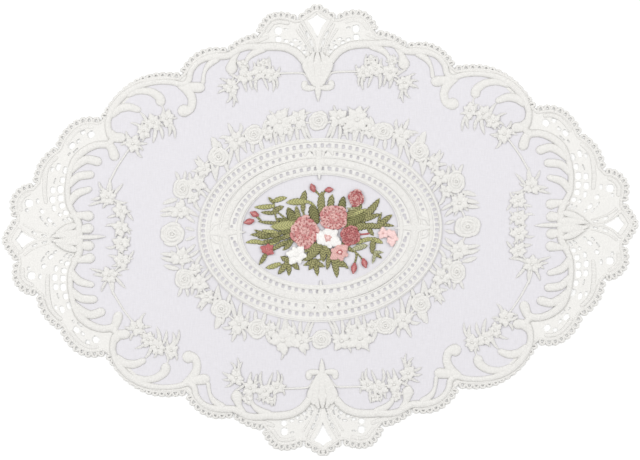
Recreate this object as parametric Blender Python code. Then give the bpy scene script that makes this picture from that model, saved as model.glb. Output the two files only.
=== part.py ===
# Oval lace doily, laid flat: sheer panel, scrolled lace border, wreath ring and coloured bouquet.
# Lengths are in millimetres and are turned into metres when a mesh is made.
import math

import bmesh
import bpy
from mathutils import Matrix, Vector
from mathutils.geometry import delaunay_2d_cdt

MM = 0.001
DOILY = "lace_doily"

# Heights above the table.
PANEL_TOP = 1.0
GAP = 0.3
SEWN_BOTTOM = PANEL_TOP + GAP
LACE_TOP = 1.8
LACE_RISE = 0.8
LEAF_TOP = 1.6
LEAF_RISE = 0.4
BLOOM_BOTTOM = LEAF_TOP + LEAF_RISE + GAP
BLOOM_TOP = 2.5
BLOOM_RISE = 0.5

# Leaves: where along it a leaf is widest, and how far its root runs on under the flower.
LEAF_MIDDLE = 0.5
LEAF_ROOT = 2.5

# Flowers: reach of the notch between petals, and height over the distance from the centre.
# Columns of the profiles: share of the radius, share of the rise.
PETAL_NOTCH = 0.62
STAR_PROFILE = ((0.0, 1.0), (0.95, 0.2), (1.02, 0.0))
ROSE_POINTS = 10
ROSE_CROWN = 0.55
ROSE_PROFILE = ((0.0, 0.35), (ROSE_CROWN, 1.0), (0.97, 0.0))

# Edge loops: one picot each pitch, drawn as a tip and a notch.
PICOT_PITCH = 4.1
PICOT_DEPTH = 1.5

# Spacing of the points along a curve.
STATION_STEP = 12.0
MERGE = 0.002

# Gaps between shapes and bends of an outline that are smaller than these areas are left out.
SMALL_GAP = 14.0
SMALL_BEND = 1.6

# The wreath ring: outer and inner half axes, and its stitched rows.
RING_OUTER = (76.5, 58.0)
RING_INNER = (48.0, 34.0)
RING_POINTS = 40
# Columns: share of the way in from the outer edge, half width of the raised row, or 0 for a sunk one.
RING_ROWS = ((0.16, 2.0), (0.34, 0), (0.66, 3.0))

# A quarter of the outer edge, from the top crest round to the end crest.
# Columns: x, y. Each row is one lobe between two notched corners.
EDGE_LOBES = (
    ((0, 142.0), (3.5, 140.3), (8, 136.4), (12.3, 131.6)),
    ((12.3, 131.6), (17, 135.7), (24, 137.6), (31, 135.6), (36, 130), (37, 125.5), (34.8, 121.6)),
    ((34.8, 121.6), (41, 123.6), (49, 120.2), (55.5, 113.6)),
    ((55.5, 113.6), (61, 115.8), (68, 116), (75.5, 113.2), (82, 107.5), (85, 102.5), (84.3, 98.8)),
    ((84.3, 98.8), (91, 101), (100, 101.6), (111, 99.2), (122, 92.8), (130.5, 83.8), (135.2, 75.5),
     (135, 72.5)),
    ((135, 72.5), (140, 74.8), (147, 75.5), (155, 72.2), (161, 65.5), (164, 59.5), (163, 56.3)),
    ((163, 56.3), (169.3, 53.8), (175.3, 47.5), (178.5, 39.5), (177.6, 33)),
    ((177.6, 33), (183, 34), (189.2, 31.2), (193.4, 25), (193.6, 17.5), (190, 12.3)),
    ((190, 12.3), (194.2, 9.3), (197.3, 5), (199.8, 0)),
)

# The seam, where the main band of the border crosses the panel's edge, a quarter of it.
# Columns: x, y, half width of the band.
SEAM = (
    (0, 104, 2.6), (6.2, 103.8, 2.6), (9.2, 107, 2.6), (13.5, 111.5, 2.6), (20, 114.6, 2.6),
    (28, 115.6, 2.7), (35, 115.4, 2.6), (41, 115.9, 2.3), (47, 115.1, 2.3), (52, 112.6, 2.2),
    (56, 110.6, 2.3), (62, 110.4, 2.5), (69, 109.5, 2.1), (75, 106.6, 1.8), (79.1, 101.5, 1.9),
    (80.6, 96, 2.0), (84.5, 93.6, 2.0), (91, 95.1, 1.8), (100, 95.5, 1.7), (110, 93.9, 2.0),
    (118, 90.2, 2.2), (124.5, 84.6, 2.3), (129, 78, 2.2), (131.2, 71, 2.0), (130.3, 64.5, 2.3),
    (128.9, 60.5, 2.1), (132, 57.6, 2.3), (138, 57.5, 2.4), (145, 54.9, 2.5), (151.2, 49.8, 2.5),
    (155.4, 43, 2.4), (157.4, 35.5, 2.3), (158, 28, 2.3), (157.2, 20.5, 2.4), (153.8, 14, 2.4),
    (151, 8.5, 2.5), (150.6, 0, 2.5),
)

# Raised satin scrolls of the border, a quarter of them. Columns: x, y, half width.
SCROLLS = {
    "palmette_curl": ((1.5, 89.2, 1.6), (7, 88.9, 1.9), (8.2, 91.6, 1.9)),
    "top_stem": ((6, 97, 1.4), (14, 98.7, 0.9), (36, 98.4, 0.9), (45.2, 97.4, 0.9), (53.8, 90.6, 0.9)),
    "arch_inner_branch": ((34, 114, 2.2), (40, 111.6, 2.2), (44, 107.6, 1.4), (45, 102, 0.9)),
    "arch_outer_branch": ((49.5, 112.6, 1.6), (52.4, 108.4, 2.0), (53.7, 102.9, 3.9)),
    "cap_inner_branch": ((63, 108.6, 2.2), (68, 105.2, 2.0), (70.7, 100.4, 1.2), (71.6, 94.5, 1.4)),
    "cap_end": ((82, 92, 3.0), (74, 91.3, 3.5)),
    "c_tail": (
        (85.5, 92.9, 2.4), (80.8, 89, 3.0), (78.5, 83.5, 2.7), (79.8, 78.3, 2.9), (83.6, 77.1, 4.1)),
    "c_first_leaf": (
        (118, 88.6, 2.2), (111.5, 90.3, 2.2), (104.5, 89.6, 2.6), (99.3, 86.3, 3.0), (98.2, 83.5, 3.2)),
    "c_second_leaf": ((128, 76.5, 2.4), (123.8, 79.6, 2.8), (118, 80.5, 2.7), (112.6, 78.7, 2.1)),
    "c_end": ((130.6, 65.6, 2.4), (127.2, 62.1, 3.2), (123.4, 61.5, 3.3)),
    "shell_end": ((134.5, 58, 2.2), (129.8, 56, 2.8), (127.6, 50.4, 3.3)),
    "shell_leaf_one": ((154.6, 42, 2.0), (150, 46.2, 2.3), (144.5, 48.8, 2.3), (138, 47.6, 2.5)),
    "shell_leaf_two": ((156.3, 33, 2.0), (150.6, 38, 2.3), (142.7, 39.3, 2.2)),
    "shell_leaf_three": ((156.2, 21.5, 2.0), (151.6, 27.2, 2.3), (143.6, 30, 1.3)),
    "volute_upper": ((153, 13.6, 2.2), (145.2, 13.2, 3.5)),
    "volute_lower": ((151.5, 6.2, 2.4), (145.9, 5.2, 3.5)),
    "top_rib": ((0, 137.3, 1.4), (5, 135.2, 1.5), (8.4, 131.3, 1.5), (5, 123, 1.3), (1.8, 112, 1.2)),
    "end_rib": ((195.2, 0, 1.3), (192.8, 4.4, 1.4), (188.4, 6.7, 1.4), (180, 3.6, 1.3), (166, 1.4, 1.1)),
    "top_lobe_fill": ((14.6, 124.6, 2.2), (18.6, 130.2, 2.5), (28.6, 129.6, 2.5), (31.4, 124, 2.0)),
    "corner_lobe_fill": ((138, 65.3, 2.3), (143.6, 69.6, 2.3), (153.3, 67.5, 2.6), (158.2, 60.3, 2.3)),
    "side_lobe_fill": ((164.5, 51.4, 2.0), (170.8, 44.6, 2.6), (171.4, 26, 2.5)),
    "end_lobe_fill": ((178, 28.7, 1.8), (185.8, 27.6, 2.1), (186.4, 14.6, 1.8)),
}

# Scrolls that lie on an axis: at the top they are mirrored downwards, at the end sideways.
TOP_SCROLLS = {
    "palmette": ((0, 109, 4.6), (0, 103.5, 8.6), (0, 98, 6.0), (0, 92, 3.6), (0, 87, 2.0), (0, 80, 0)),
}
END_SCROLLS = {
    "pendant": ((153, 0, 3.0), (147, 0, 2.4), (141, 0, 1.3), (134.5, 0, 0)),
}

# Round and oblong gaps cut through the border, a quarter of them.
# Columns: x, y, half length, half width, turn in degrees.
LACE_GAPS = (
    (23.8, 125.8, 2.5, 2.5, 0), (24.3, 120.5, 2.0, 1.7, 0), (16.4, 117.2, 1.8, 1.5, 30),
    (142.8, 64.0, 2.2, 1.9, 40), (149.2, 60.2, 2.2, 1.1, -30), (153.5, 56.8, 2.2, 1.9, -45),
    (159.2, 42.6, 2.3, 1.5, 72), (161.3, 36.6, 2.2, 1.4, 80), (162.2, 30.9, 2.1, 1.6, 87),
    (162.3, 25.8, 2.1, 1.7, 90), (161.6, 20.7, 1.8, 1.6, -82), (159.6, 16.0, 1.9, 1.3, -20),
    (163.2, 46.8, 2.2, 1.7, 72), (166.8, 30.4, 2.1, 1.5, 87), (167.1, 24.8, 2.2, 1.6, 90),
    (166.1, 19.3, 1.8, 1.5, -80), (182.0, 22.6, 2.5, 2.5, 0), (172.4, 14.6, 2.0, 1.4, -25),
)

# Ogee gaps of the two crests, half of each. Columns: x, y.
TOP_CREST_GAP = ((0, 134.2), (3.2, 133), (6.2, 130.8), (4.3, 127.8), (2.4, 123.6), (0, 119))
END_CREST_GAP = ((191.4, 0), (190.2, 2.3), (187.4, 4.1), (184.2, 2.7), (180.4, 1.3), (175.6, 0))

# Small flowers of the border sprays, a quarter of them. Columns: x, y, radius, petals.
SPRAY_FLOWERS = (
    (28.5, 97.5, 4.6, 5), (36, 99.6, 5.4, 5), (45.2, 97.4, 5.4, 5), (53.8, 90.6, 5.0, 5),
    (94.4, 72.4, 5.0, 5), (102.8, 70.4, 5.0, 5), (109, 65.2, 4.8, 5), (115.8, 57.4, 5.4, 5),
    (132.6, 24.4, 5.6, 5), (124.2, 15.6, 5.2, 5), (124.6, 4.8, 5.4, 5),
)

# Leaves and long petals of the border sprays, a quarter of them.
# Columns: root x, root y, tip x, tip y, width, bend to the left.
SPRAY_LEAVES = (
    (30.5, 99, 30.2, 108.2, 3.2, 0.4), (29.5, 96, 30.6, 86.2, 3.4, -0.6),
    (38, 96, 36.4, 87.4, 3.2, 0.4), (52.6, 88, 51.2, 79.8, 2.8, 0.7), (54.6, 88, 57.8, 80.4, 2.8, -0.8),
    (93.6, 70, 95.2, 60.4, 4.2, -0.4), (100.4, 68, 101.8, 57.2, 4.4, -0.4),
    (106.6, 68, 112.6, 75.6, 3.4, 0.4), (113.6, 55.6, 108.6, 49.4, 3.0, 0.4),
    (131, 27, 130.8, 36, 3.2, 0.3), (136.6, 24.6, 142.8, 24.6, 3.2, 0.2),
    (135, 21, 141.6, 17.8, 2.8, -0.3), (128, 22.6, 119.6, 21.8, 3.0, 0.4),
)

# The thin stem that joins the corner spray and the side spray. Columns: x, y, half width.
SPRAY_STEM = (
    (98, 82, 0.8), (95.6, 74, 0.8), (102.8, 70.4, 0.8), (109, 65.2, 0.8), (115.8, 57.4, 0.9),
    (127, 41.4, 1.0), (132.4, 27, 1.0), (124.2, 15.6, 0.8), (124.4, 4.8, 0.8), (125.2, -1, 0.8),
)

# The stem under the garland of the wreath. Columns: x, y, half width.
WREATH_STEM = (
    (-1, 66.6, 0.9), (12.6, 67.6, 0.9), (24.2, 66.4, 0.9), (31.8, 61.2, 0.9), (40.3, 59.4, 0.9),
    (51.6, 57, 0.9), (62.6, 47.6, 0.9), (71.6, 39.6, 0.9), (76, 31.2, 0.9), (85.4, 28.2, 0.9),
    (87.2, 14.8, 0.9), (91, 5, 0.9), (92.2, -1, 0.9),
)

# Roses of the wreath. Columns: x, y, half length, half height.
WREATH_ROSES = ((40.3, 60.8, 6.4, 6.1), (62.6, 47.6, 6.4, 6.2), (85.4, 28.2, 6.0, 7.2))
TOP_WREATH_ROSE = (0, 68.4, 6.4, 6.2)
END_WREATH_ROSE = (92.4, 0, 8.4, 7.4)

# Flowers of the wreath, a quarter of them. Columns: x, y, radius, petals.
WREATH_FLOWERS = (
    (12.6, 69.8, 5.6, 6), (24.2, 68.4, 7.6, 5), (31.8, 61.2, 3.6, 5), (51.6, 57.6, 5.2, 6),
    (76, 31.2, 4.8, 5), (87.2, 14.8, 5.2, 5), (71.6, 39.6, 3.8, 5),
)

# Leaves and long petals of the wreath, a quarter of them. Columns as in SPRAY_LEAVES.
WREATH_LEAVES = (
    (10.4, 67, 5.2, 55.4, 3.4, 0.3), (14.6, 66, 14.4, 54.8, 3.4, 0.2), (24, 64, 22.9, 53, 3.4, 0.3),
    (34.6, 64, 31.2, 70.8, 3.6, 0.3), (36.6, 57.4, 36.2, 48.4, 3.6, 0.3), (50, 55, 46, 43.6, 3.2, 0.4),
    (53.4, 54.6, 53.2, 39.8, 3.4, -0.4), (49, 61, 49.8, 68.6, 3.0, 0.3), (64.6, 52, 67.6, 60.8, 5.4, 0.5),
    (66, 42.6, 64.4, 29, 3.6, 0.3), (73, 41, 77.6, 45.8, 3.4, -0.3), (80.4, 23.4, 71.4, 15.6, 3.6, 0.3),
    (90, 21.6, 98.4, 19.4, 4.2, 0.3), (91, 15, 101, 13.6, 4.0, 0.3), (83, 12.6, 75.4, 6, 3.4, 0.2),
)

# Leaves of the bouquet. Columns: root x, root y, tip x, tip y, width, bend to the left.
BOUQUET_LEAVES = (
    (-28.6, 18.6, -20.4, 20.8, 3.4, 0.3), (-29, 15.8, -40.6, 15.2, 3.2, 0.3),
    (-28.6, 18.6, -31.8, 21.4, 2.2, 0.1), (-28.4, 12.8, -22.4, 15.4, 3.6, 0.2),
    (-27.6, 11.4, -37.4, 12.2, 2.8, 0.2), (-9.4, 18, -20.8, 17.6, 4.6, -0.3),
    (-10.2, 16.6, -8.8, 25, 4.4, 0.3), (-10.4, 17, -10.6, 11, 3.2, 0.1),
    (-9.6, 18.4, -2.4, 14.4, 2.2, 0.6), (-2.4, 6, -4.6, 16.4, 7.0, 0.4),
    (-14.6, 4, -20.4, 14.6, 6.4, 0.5), (-17, 3.8, -30.6, 2.6, 6.8, 0.5),
    (-22, 5.6, -40.4, 7.4, 2.8, 0.3), (-17, -0.8, -43.8, -0.8, 5.2, -1.4),
    (-19, -4, -46.4, -5.8, 5.0, -1.0), (-17.6, -2.4, -31.4, -7.8, 5.6, 0.6),
    (-18.4, -4.4, -27.4, -11.6, 4.8, 0.5), (-33.4, -12.4, -36.4, -20, 3.4, 0.3),
    (-18, -19, -25.4, -16.2, 4.2, 0.2), (-26, -21, -33.6, -22.4, 3.8, 0.3),
    (-21.6, -20.4, -26.8, -27, 4.0, 0.3), (-20, -20, -20, -28, 3.6, 0.2),
    (-17.6, -19.6, -13.4, -24.8, 3.8, -0.3), (0.4, -8, -9.6, -19.2, 6.4, 0.6),
    (0.6, -8, 2.2, -20, 5.2, 0.4), (2.4, -9, 6.6, -17, 4.4, -0.3), (-1.8, -9, -10, -13.8, 4.2, -0.3),
    (-3, -18.6, -10.6, -21.8, 3.2, 0.2), (-3.6, -19, -7.4, -24.8, 3.4, 0.2),
    (-3.8, -19.6, -2, -28.8, 3.8, 0.3), (-3, -20, 2.6, -23, 3.4, -0.2), (5.4, -16, 4, -24.8, 3.4, 0.2),
    (7.4, -17, 10.2, -30, 4.6, 0.5), (8.6, -18.6, 14.4, -23.4, 3.6, -0.3),
    (9.4, -18, 17.4, -25.2, 3.2, 0.4), (1, 11, 1.6, 23.8, 5.2, 0.3), (6.8, 13, 8.2, 21.8, 4.6, 0.3),
    (13.8, 11, 15.2, 20.6, 5.2, 0.4), (17, 4.6, 26.4, 15.4, 7.4, 0.7), (26, 6, 37.4, 18.6, 5.0, -1.2),
    (17.4, 2.6, 30.4, 8.6, 7.2, 0.6), (17.4, 0.4, 32.4, 1.4, 6.0, 0.4), (27.6, 5.4, 37.8, 9, 3.6, 0.3),
    (28, 2, 39.4, 0.2, 4.0, 0.4), (36.4, 1, 38.6, 10, 2.4, 0.2), (37.8, 1.4, 45.4, 8.2, 4.2, 0.3),
    (38.2, 1, 46.8, 1, 2.6, 0.2), (17, -2.6, 31, -3.4, 3.8, 0.3), (18.4, -8, 27, -8.4, 3.8, 0.3),
    (21.4, -12, 30.6, -10, 4.2, 0.3), (25.6, -7.6, 33.6, -6, 3.2, 0.2),
    (31.8, -6.4, 39.2, -9.2, 3.6, 0.3), (33, -7.4, 32.4, -15.6, 4.2, 0.2),
    (32.8, -14.6, 39.4, -15, 2.6, 0.2), (33.4, -15, 38.4, -18.4, 2.4, 0.2),
    (34.2, -15, 32.6, -21.8, 2.4, 0.2),
)

# Stems of the bouquet. Columns: x, y, half width.
BOUQUET_STEMS = (
    ((-28.2, 19.6, 0.6), (-28.6, 14, 0.6), (-26.4, 4.6, 0.6)), ((-27, 12.4, 0.6), (-18, 5, 0.8)),
    ((-10.6, 12.6, 0.8), (-8.6, 5, 0.9)), ((1.4, 20, 0.7), (-1, 23, 0.7), (-4, 26, 0.9)),
    ((1.6, 21, 0.7), (3.4, 24.2, 0.7), (6, 25.2, 0.8)),
    ((12, -8, 0.8), (19, -12, 0.7), (22.6, -15.6, 0.7), (21.2, -23, 0.6)),
    ((21, -13.6, 0.7), (27.4, -21, 0.6)), ((-26, -10.2, 0.7), (-34.4, -14, 0.7)),
    ((-7.4, -16.4, 0.7), (-13, -19, 0.7), (-20, -20.4, 0.7), (-28, -21.8, 0.7)),
    ((1.6, -18, 0.8), (-4.6, -19.8, 0.7)), ((5.6, -15, 0.8), (9, -19.6, 0.8)),
    ((-38, 7.2, 0.7), (-41, 11, 0.9)), ((19, -6, 0.8), (33, -7, 0.7)),
    ((29, -2.8, 0.7), (39, -2.6, 0.6)),
)

# Underlay of the bouquet, sewn below the large blooms. Columns: x, y.
BOUQUET_UNDERLAY = (
    (-15, -6), (-10, -8), (0, -10), (12, -10), (20.6, -7), (21.6, 2), (15, 12.4), (8, 14), (0, 12),
    (-10, 7), (-16, 4.4),
)

# Blooms of the bouquet, each its own piece. Columns: x, y, half length, half height, petals, colour.
BLOOMS = {
    "rose_left": (-9.6, -1.0, 8.4, 9.9, 0, "pink"),
    "rose_upper": (8.6, 7.6, 8.8, 7.6, 0, "pink"),
    "rose_right": (18.9, -4.0, 5.4, 5.6, 0, "rose_red"),
    "flower_white": (4.8, -5.0, 6.6, 5.4, 6, "white"),
    "flower_pink": (12.2, -14.6, 4.9, 4.7, 5, "pink"),
    "flower_pale": (-14.8, -15.4, 4.7, 4.9, 5, "white"),
    "flower_red": (-33.0, -11.8, 3.3, 3.2, 6, "rose_red"),
    "rosebud": (22.8, 19.4, 4.6, 5.2, 0, "rose_red"),
    "bud_top": (-4.2, 27.0, 1.9, 2.6, 5, "pink"),
    "bud_top_right": (6.6, 25.0, 2.3, 1.8, 5, "pink"),
    "bud_left": (-41.0, 11.4, 2.8, 2.4, 5, "rose_red"),
    "bud_far_left": (-44.6, 6.2, 3.2, 2.0, 5, "rose_red"),
    "bud_low": (21.0, -24.6, 2.1, 3.4, 5, "rose_red"),
    "bud_low_right": (27.6, -21.6, 1.9, 3.0, 5, "rose_red"),
    "bell_inner": (39.4, -3.0, 2.7, 2.9, 5, "pale_pink"),
    "bell_outer": (45.0, -6.0, 2.6, 4.6, 5, "pale_pink"),
}

# Columns: red, green, blue, roughness.
THREADS = {
    "organza": (0.83, 0.82, 0.87, 0.6),
    "white": (0.92, 0.92, 0.88, 0.75),
    "leaf_green": (0.36, 0.39, 0.16, 0.7),
    "pink": (0.8, 0.42, 0.44, 0.7),
    "rose_red": (0.72, 0.3, 0.32, 0.7),
    "pale_pink": (0.9, 0.68, 0.66, 0.7),
}

# How unevenly the cloth lies: the left end is a little low and the lower half a little narrow.
LEFT_DROP = 1.4
TILT = 0.0075
LOWER_NARROW = 0.004
SHEAR = 0.004


def uneven(point):
    """Move a point of the even drawing to where the laid cloth has it."""
    x, y = point
    narrow = 1 + LOWER_NARROW * math.tanh(y / 40)
    return x * narrow + SHEAR * y, y + TILT * x - LEFT_DROP * (x / 200) ** 2


def smooth(rows, step):
    """Points about a step apart on the smooth curve through the rows, with all their columns."""
    points = [rows[0]]
    for i in range(len(rows) - 1):
        before = rows[max(i - 1, 0)]
        start = rows[i]
        end = rows[i + 1]
        after = rows[min(i + 2, len(rows) - 1)]
        count = max(1, round(math.dist(start[:2], end[:2]) / step))
        for k in range(1, count + 1):
            t = k / count
            points.append(tuple(
                b + 0.5 * t * (c - a + t * (2 * a - 5 * b + 4 * c - d + t * (3 * b - a - 3 * c + d)))
                for a, b, c, d in zip(before, start, end, after)))
    return points


def four_ways(points):
    """A shape and its three mirror images."""
    return [[(sx * p[0], sy * p[1], *p[2:]) for p in points] for sx in (1, -1) for sy in (1, -1)]


def closed_round(quarter):
    """The whole loop from a quarter that runs from the top to the right end."""
    lower = [(p[0], -p[1], *p[2:]) for p in reversed(quarter[:-1])]
    right = quarter + lower
    left = [(-p[0], p[1], *p[2:]) for p in reversed(right[1:-1])]
    return right + left


def along(line, pitch):
    """Points every half pitch along a line, each with the direction of the line there."""
    lengths = [0.0]
    for a, b in zip(line, line[1:]):
        lengths.append(lengths[-1] + math.dist(a, b))
    count = 2 * max(2, round(lengths[-1] / pitch))
    places = []
    for k in range(count):
        place = lengths[-1] * k / count
        i = max(j for j in range(len(line) - 1) if lengths[j] <= place + 1e-9)
        run = Vector(line[i + 1]) - Vector(line[i])
        share = (place - lengths[i]) / (lengths[i + 1] - lengths[i])
        places.append((Vector(line[i]) + run * share, run.normalized()))
    return places


def edge_loop():
    """The outer edge with its picots: a notch at every second point of a lobe."""
    quarter = []
    for lobe in EDGE_LOBES:
        for k, (place, run) in enumerate(along(smooth(lobe, 1.0), PICOT_PITCH)):
            depth = PICOT_DEPTH if k > 0 and k % 2 == 0 else 0.0
            quarter.append((place.x + run.y * depth, place.y - run.x * depth))
    quarter.append(EDGE_LOBES[-1][-1])
    return closed_round(quarter)


def middle_of_edge():
    """Middle of the laid cloth's bounding box."""
    xs, ys = zip(*(uneven(p) for p in edge_loop()))
    return (min(xs) + max(xs)) / 2, (min(ys) + max(ys)) / 2


MIDDLE = middle_of_edge()


def lay(point):
    """A point of the even drawing on the laid cloth, measured from the middle of its bounding box."""
    x, y = uneven(point)
    return x - MIDDLE[0], y - MIDDLE[1]


def seam_loop():
    """The seam with the band's half width at each point."""
    return slimmed(closed_round(smooth(SEAM, STATION_STEP)))


def round_end(centre, inner, sides, radius):
    """Points that round off a band's end, from its first side to its second."""
    if radius < 0.5:
        return []
    ahead = (centre - inner).normalized() * radius
    first = (sides[0] - centre).normalized() * radius
    turns = (45, 90, 135) if radius > 2.5 else (90,)
    return [centre + first * math.cos(math.radians(a)) + ahead * math.sin(math.radians(a)) for a in turns]


class Relief:
    """A flat sheet of overlapping shapes whose top is raised along ridges."""

    def __init__(self, bottom, top, rise):
        self.bottom = bottom
        self.top = top
        self.rise = rise
        self.shapes = []
        self.gaps = []
        self.edges = []
        self.peaks = []
        self.slopes = []
        self.cones = []

    def ribbon(self, stations, ridged=True):
        """A satin stitched band through stations of x, y and half width, with round ends."""
        centres = [Vector(lay(s[:2])) for s in stations]
        widths = [s[2] for s in stations]
        sides = []
        for i, centre in enumerate(centres):
            run = centres[min(i + 1, len(centres) - 1)] - centres[max(i - 1, 0)]
            across = Vector((-run.y, run.x)).normalized() * widths[i]
            sides.append((centre + across, centre - across))
        if ridged:
            self.edges += zip(centres, centres[1:])
            self.slopes += zip(centres, centres[1:], widths, widths[1:])
        back = round_end(centres[0], centres[1], sides[0][::-1], widths[0])
        front = round_end(centres[-1], centres[-2], sides[-1], widths[-1])
        lefts = [left for left, _ in sides]
        rights = [right for _, right in sides]
        if widths[-1] == 0:
            rights.pop()
        self.shapes.append(lefts + front + rights[::-1] + back)

    def leaf(self, row):
        """A pointed leaf or long petal with a raised middle; its root runs on under its flower."""
        x0, y0, x1, y1, width, bend = row
        start = Vector((x0, y0))
        run = Vector((x1, y1)) - start
        across = Vector((-run.y, run.x)).normalized()
        middle = start + run * LEAF_MIDDLE + across * bend
        side = across * width / 2
        root = start - run.normalized() * LEAF_ROOT
        root, left, tip, right, middle = (
            Vector(lay(p)) for p in (root, middle + side, (x1, y1), middle - side, middle))
        self.shapes.append([root, left, tip, right])
        self.peaks.append(middle)
        self.slopes += [(root, middle, 0.0, width / 2), (middle, tip, width / 2, 0.0)]

    def ring(self, x, y, radius_x, radius_y, reaches, turn):
        """Points round a centre, each at its share of the radius."""
        points = []
        for k, reach in enumerate(reaches):
            angle = turn + 2 * math.pi * k / len(reaches)
            points.append(Vector(lay((x + reach * radius_x * math.cos(angle),
                                      y + reach * radius_y * math.sin(angle)))))
        return points

    def star(self, x, y, radius_x, radius_y, petals):
        """A small flower: a star with a raised centre, each one turned by its place."""
        turn = 0.4 + 0.3 * x
        self.shapes.append(self.ring(x, y, radius_x, radius_y, (1.0, PETAL_NOTCH) * petals, turn))
        centre = Vector(lay((x, y)))
        self.peaks.append(centre)
        self.cones.append((centre, radius_x, radius_y, STAR_PROFILE))

    def rose(self, x, y, radius_x, radius_y):
        """A rose: a round head, raised in a ring and sunk in the middle."""
        self.shapes.append(self.ring(x, y, radius_x, radius_y, (1.0,) * ROSE_POINTS, 0.3))
        crown = self.ring(x, y, radius_x, radius_y, (ROSE_CROWN,) * ROSE_POINTS, 0.15)
        self.edges += zip(crown, crown[1:] + crown[:1])
        centre = Vector(lay((x, y)))
        self.peaks.append(centre)
        self.cones.append((centre, radius_x, radius_y, ROSE_PROFILE))

    def gap(self, row):
        """A round gap with six corners or an oblong gap with four."""
        x, y, half_length, half_width, turn = row
        angles = range(0, 360, 60) if half_length == half_width else range(45, 360, 90)
        reach = 1.0 if half_length == half_width else 1.25
        turned = Matrix.Rotation(math.radians(turn), 2)
        rim = []
        for angle in angles:
            a = math.radians(angle)
            corner = turned @ Vector((half_length * math.cos(a), half_width * math.sin(a))) * reach
            rim.append(Vector(lay((x + corner.x, y + corner.y))))
        self.gaps.append(rim)

    def height(self, point):
        """Top of the relief over a point."""
        lift = 0.0
        for start, end, wide_start, wide_end in self.slopes:
            run = end - start
            t = max(0.0, min(1.0, (point - start).dot(run) / run.length_squared))
            wide = wide_start + (wide_end - wide_start) * t
            away = (point - start - run * t).length
            if away < wide:
                lift = max(lift, 1 - away / wide)
        for centre, radius_x, radius_y, profile in self.cones:
            away = math.hypot((point.x - centre.x) / radius_x, (point.y - centre.y) / radius_y)
            for (inner, high), (outer, low) in zip(profile, profile[1:]):
                if inner <= away < outer:
                    lift = max(lift, high + (low - high) * (away - inner) / (outer - inner))
        return self.top + self.rise * lift


def triangulate(polygons, edges, peaks):
    """Constrained triangulation, with the polygons that cover each triangle."""
    points = []
    faces = []
    lines = []
    for polygon in polygons:
        polygon = polygon if area(polygon) > 0 else polygon[::-1]
        faces.append(list(range(len(points), len(points) + len(polygon))))
        points += polygon
    for start, end in edges:
        lines.append((len(points), len(points) + 1))
        points += [start, end]
    points += peaks
    verts, _, tris, origins, _, covers = delaunay_2d_cdt(points, lines, faces, 0, MERGE)
    return verts, tris, covers, origins


def sides_of(tri):
    """The three directed sides of a triangle."""
    return [(tri[0], tri[1]), (tri[1], tri[2]), (tri[2], tri[0])]


def boundary_loops(tris):
    """Closed loops around the triangles, as lists of point numbers."""
    follows = {}
    sides = {side for tri in tris for side in sides_of(tri)}
    for a, b in sorted(sides):
        if (b, a) not in sides:
            follows.setdefault(a, []).append(b)
    loops = []
    for start in follows:
        walk = [start] if follows[start] else []
        while walk:
            here = follows[walk[-1]].pop()
            if here in walk:
                first = walk.index(here)
                loops.append(walk[first:])
                walk = walk[:first + 1] if first > 0 else []
            else:
                walk.append(here)
    return loops


def area(polygon):
    """Area of a polygon, positive when its points run counterclockwise."""
    return sum(a[0] * b[1] - b[0] * a[1] for a, b in zip(polygon, polygon[1:] + polygon[:1])) / 2


def slimmed(loop):
    """The loop without the points that hardly bend it."""
    points = list(loop)
    while len(points) > 4:
        nexts = points[1:] + points[:1]
        bends = [abs(area([points[i - 1], p, nexts[i]])) for i, p in enumerate(points)]
        least = min(range(len(points)), key=bends.__getitem__)
        if bends[least] > SMALL_BEND:
            break
        points.pop(least)
    return points


def joined(polygons):
    """Outlines of overlapping polygons taken as one shape: each outer loop and each larger gap in it."""
    verts, tris, covers, _ = triangulate(polygons, [], [])
    covered = [tuple(tri) for tri, cover in zip(tris, covers) if cover]
    loops = [[verts[i] for i in loop] for loop in boundary_loops(covered)]
    return [slimmed(loop) for loop in loops if area(loop) > 0 or area(loop) < -SMALL_GAP]


def kept_triangles(relief, outline, panel_edge):
    """Triangles of the relief: the ground between outline and panel, and every shape, less the gaps."""
    grounds = [outline] if outline else []
    panels = [panel_edge] if panel_edge else []
    groups = [grounds, panels, joined(relief.shapes), relief.gaps]
    starts = [sum(len(group) for group in groups[:k]) for k in range(len(groups) + 1)]
    polygons = [polygon for group in groups for polygon in group]
    verts, tris, covers, _ = triangulate(polygons, relief.edges, relief.peaks)
    kept = []
    for tri, cover in zip(tris, covers):
        ground, panel, shapes, gaps = (
            sum(1 for c in cover if first <= c < last) for first, last in zip(starts, starts[1:]))
        if gaps == 0 and (shapes % 2 == 1 or (ground and not panel)):
            kept.append(tuple(tri))
    return verts, largest_sheet(kept)


def largest_sheet(tris):
    """The largest group of triangles that hang together by their sides."""
    owners = {}
    for n, tri in enumerate(tris):
        for side in sides_of(tri):
            owners.setdefault(frozenset(side), []).append(n)
    left = set(range(len(tris)))
    best = []
    while left:
        queue = [left.pop()]
        group = []
        while queue:
            n = queue.pop()
            group.append(n)
            for side in sides_of(tris[n]):
                for other in owners[frozenset(side)]:
                    if other in left:
                        left.remove(other)
                        queue.append(other)
        if len(group) > len(best):
            best = group
    return [tris[n] for n in best]


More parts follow.
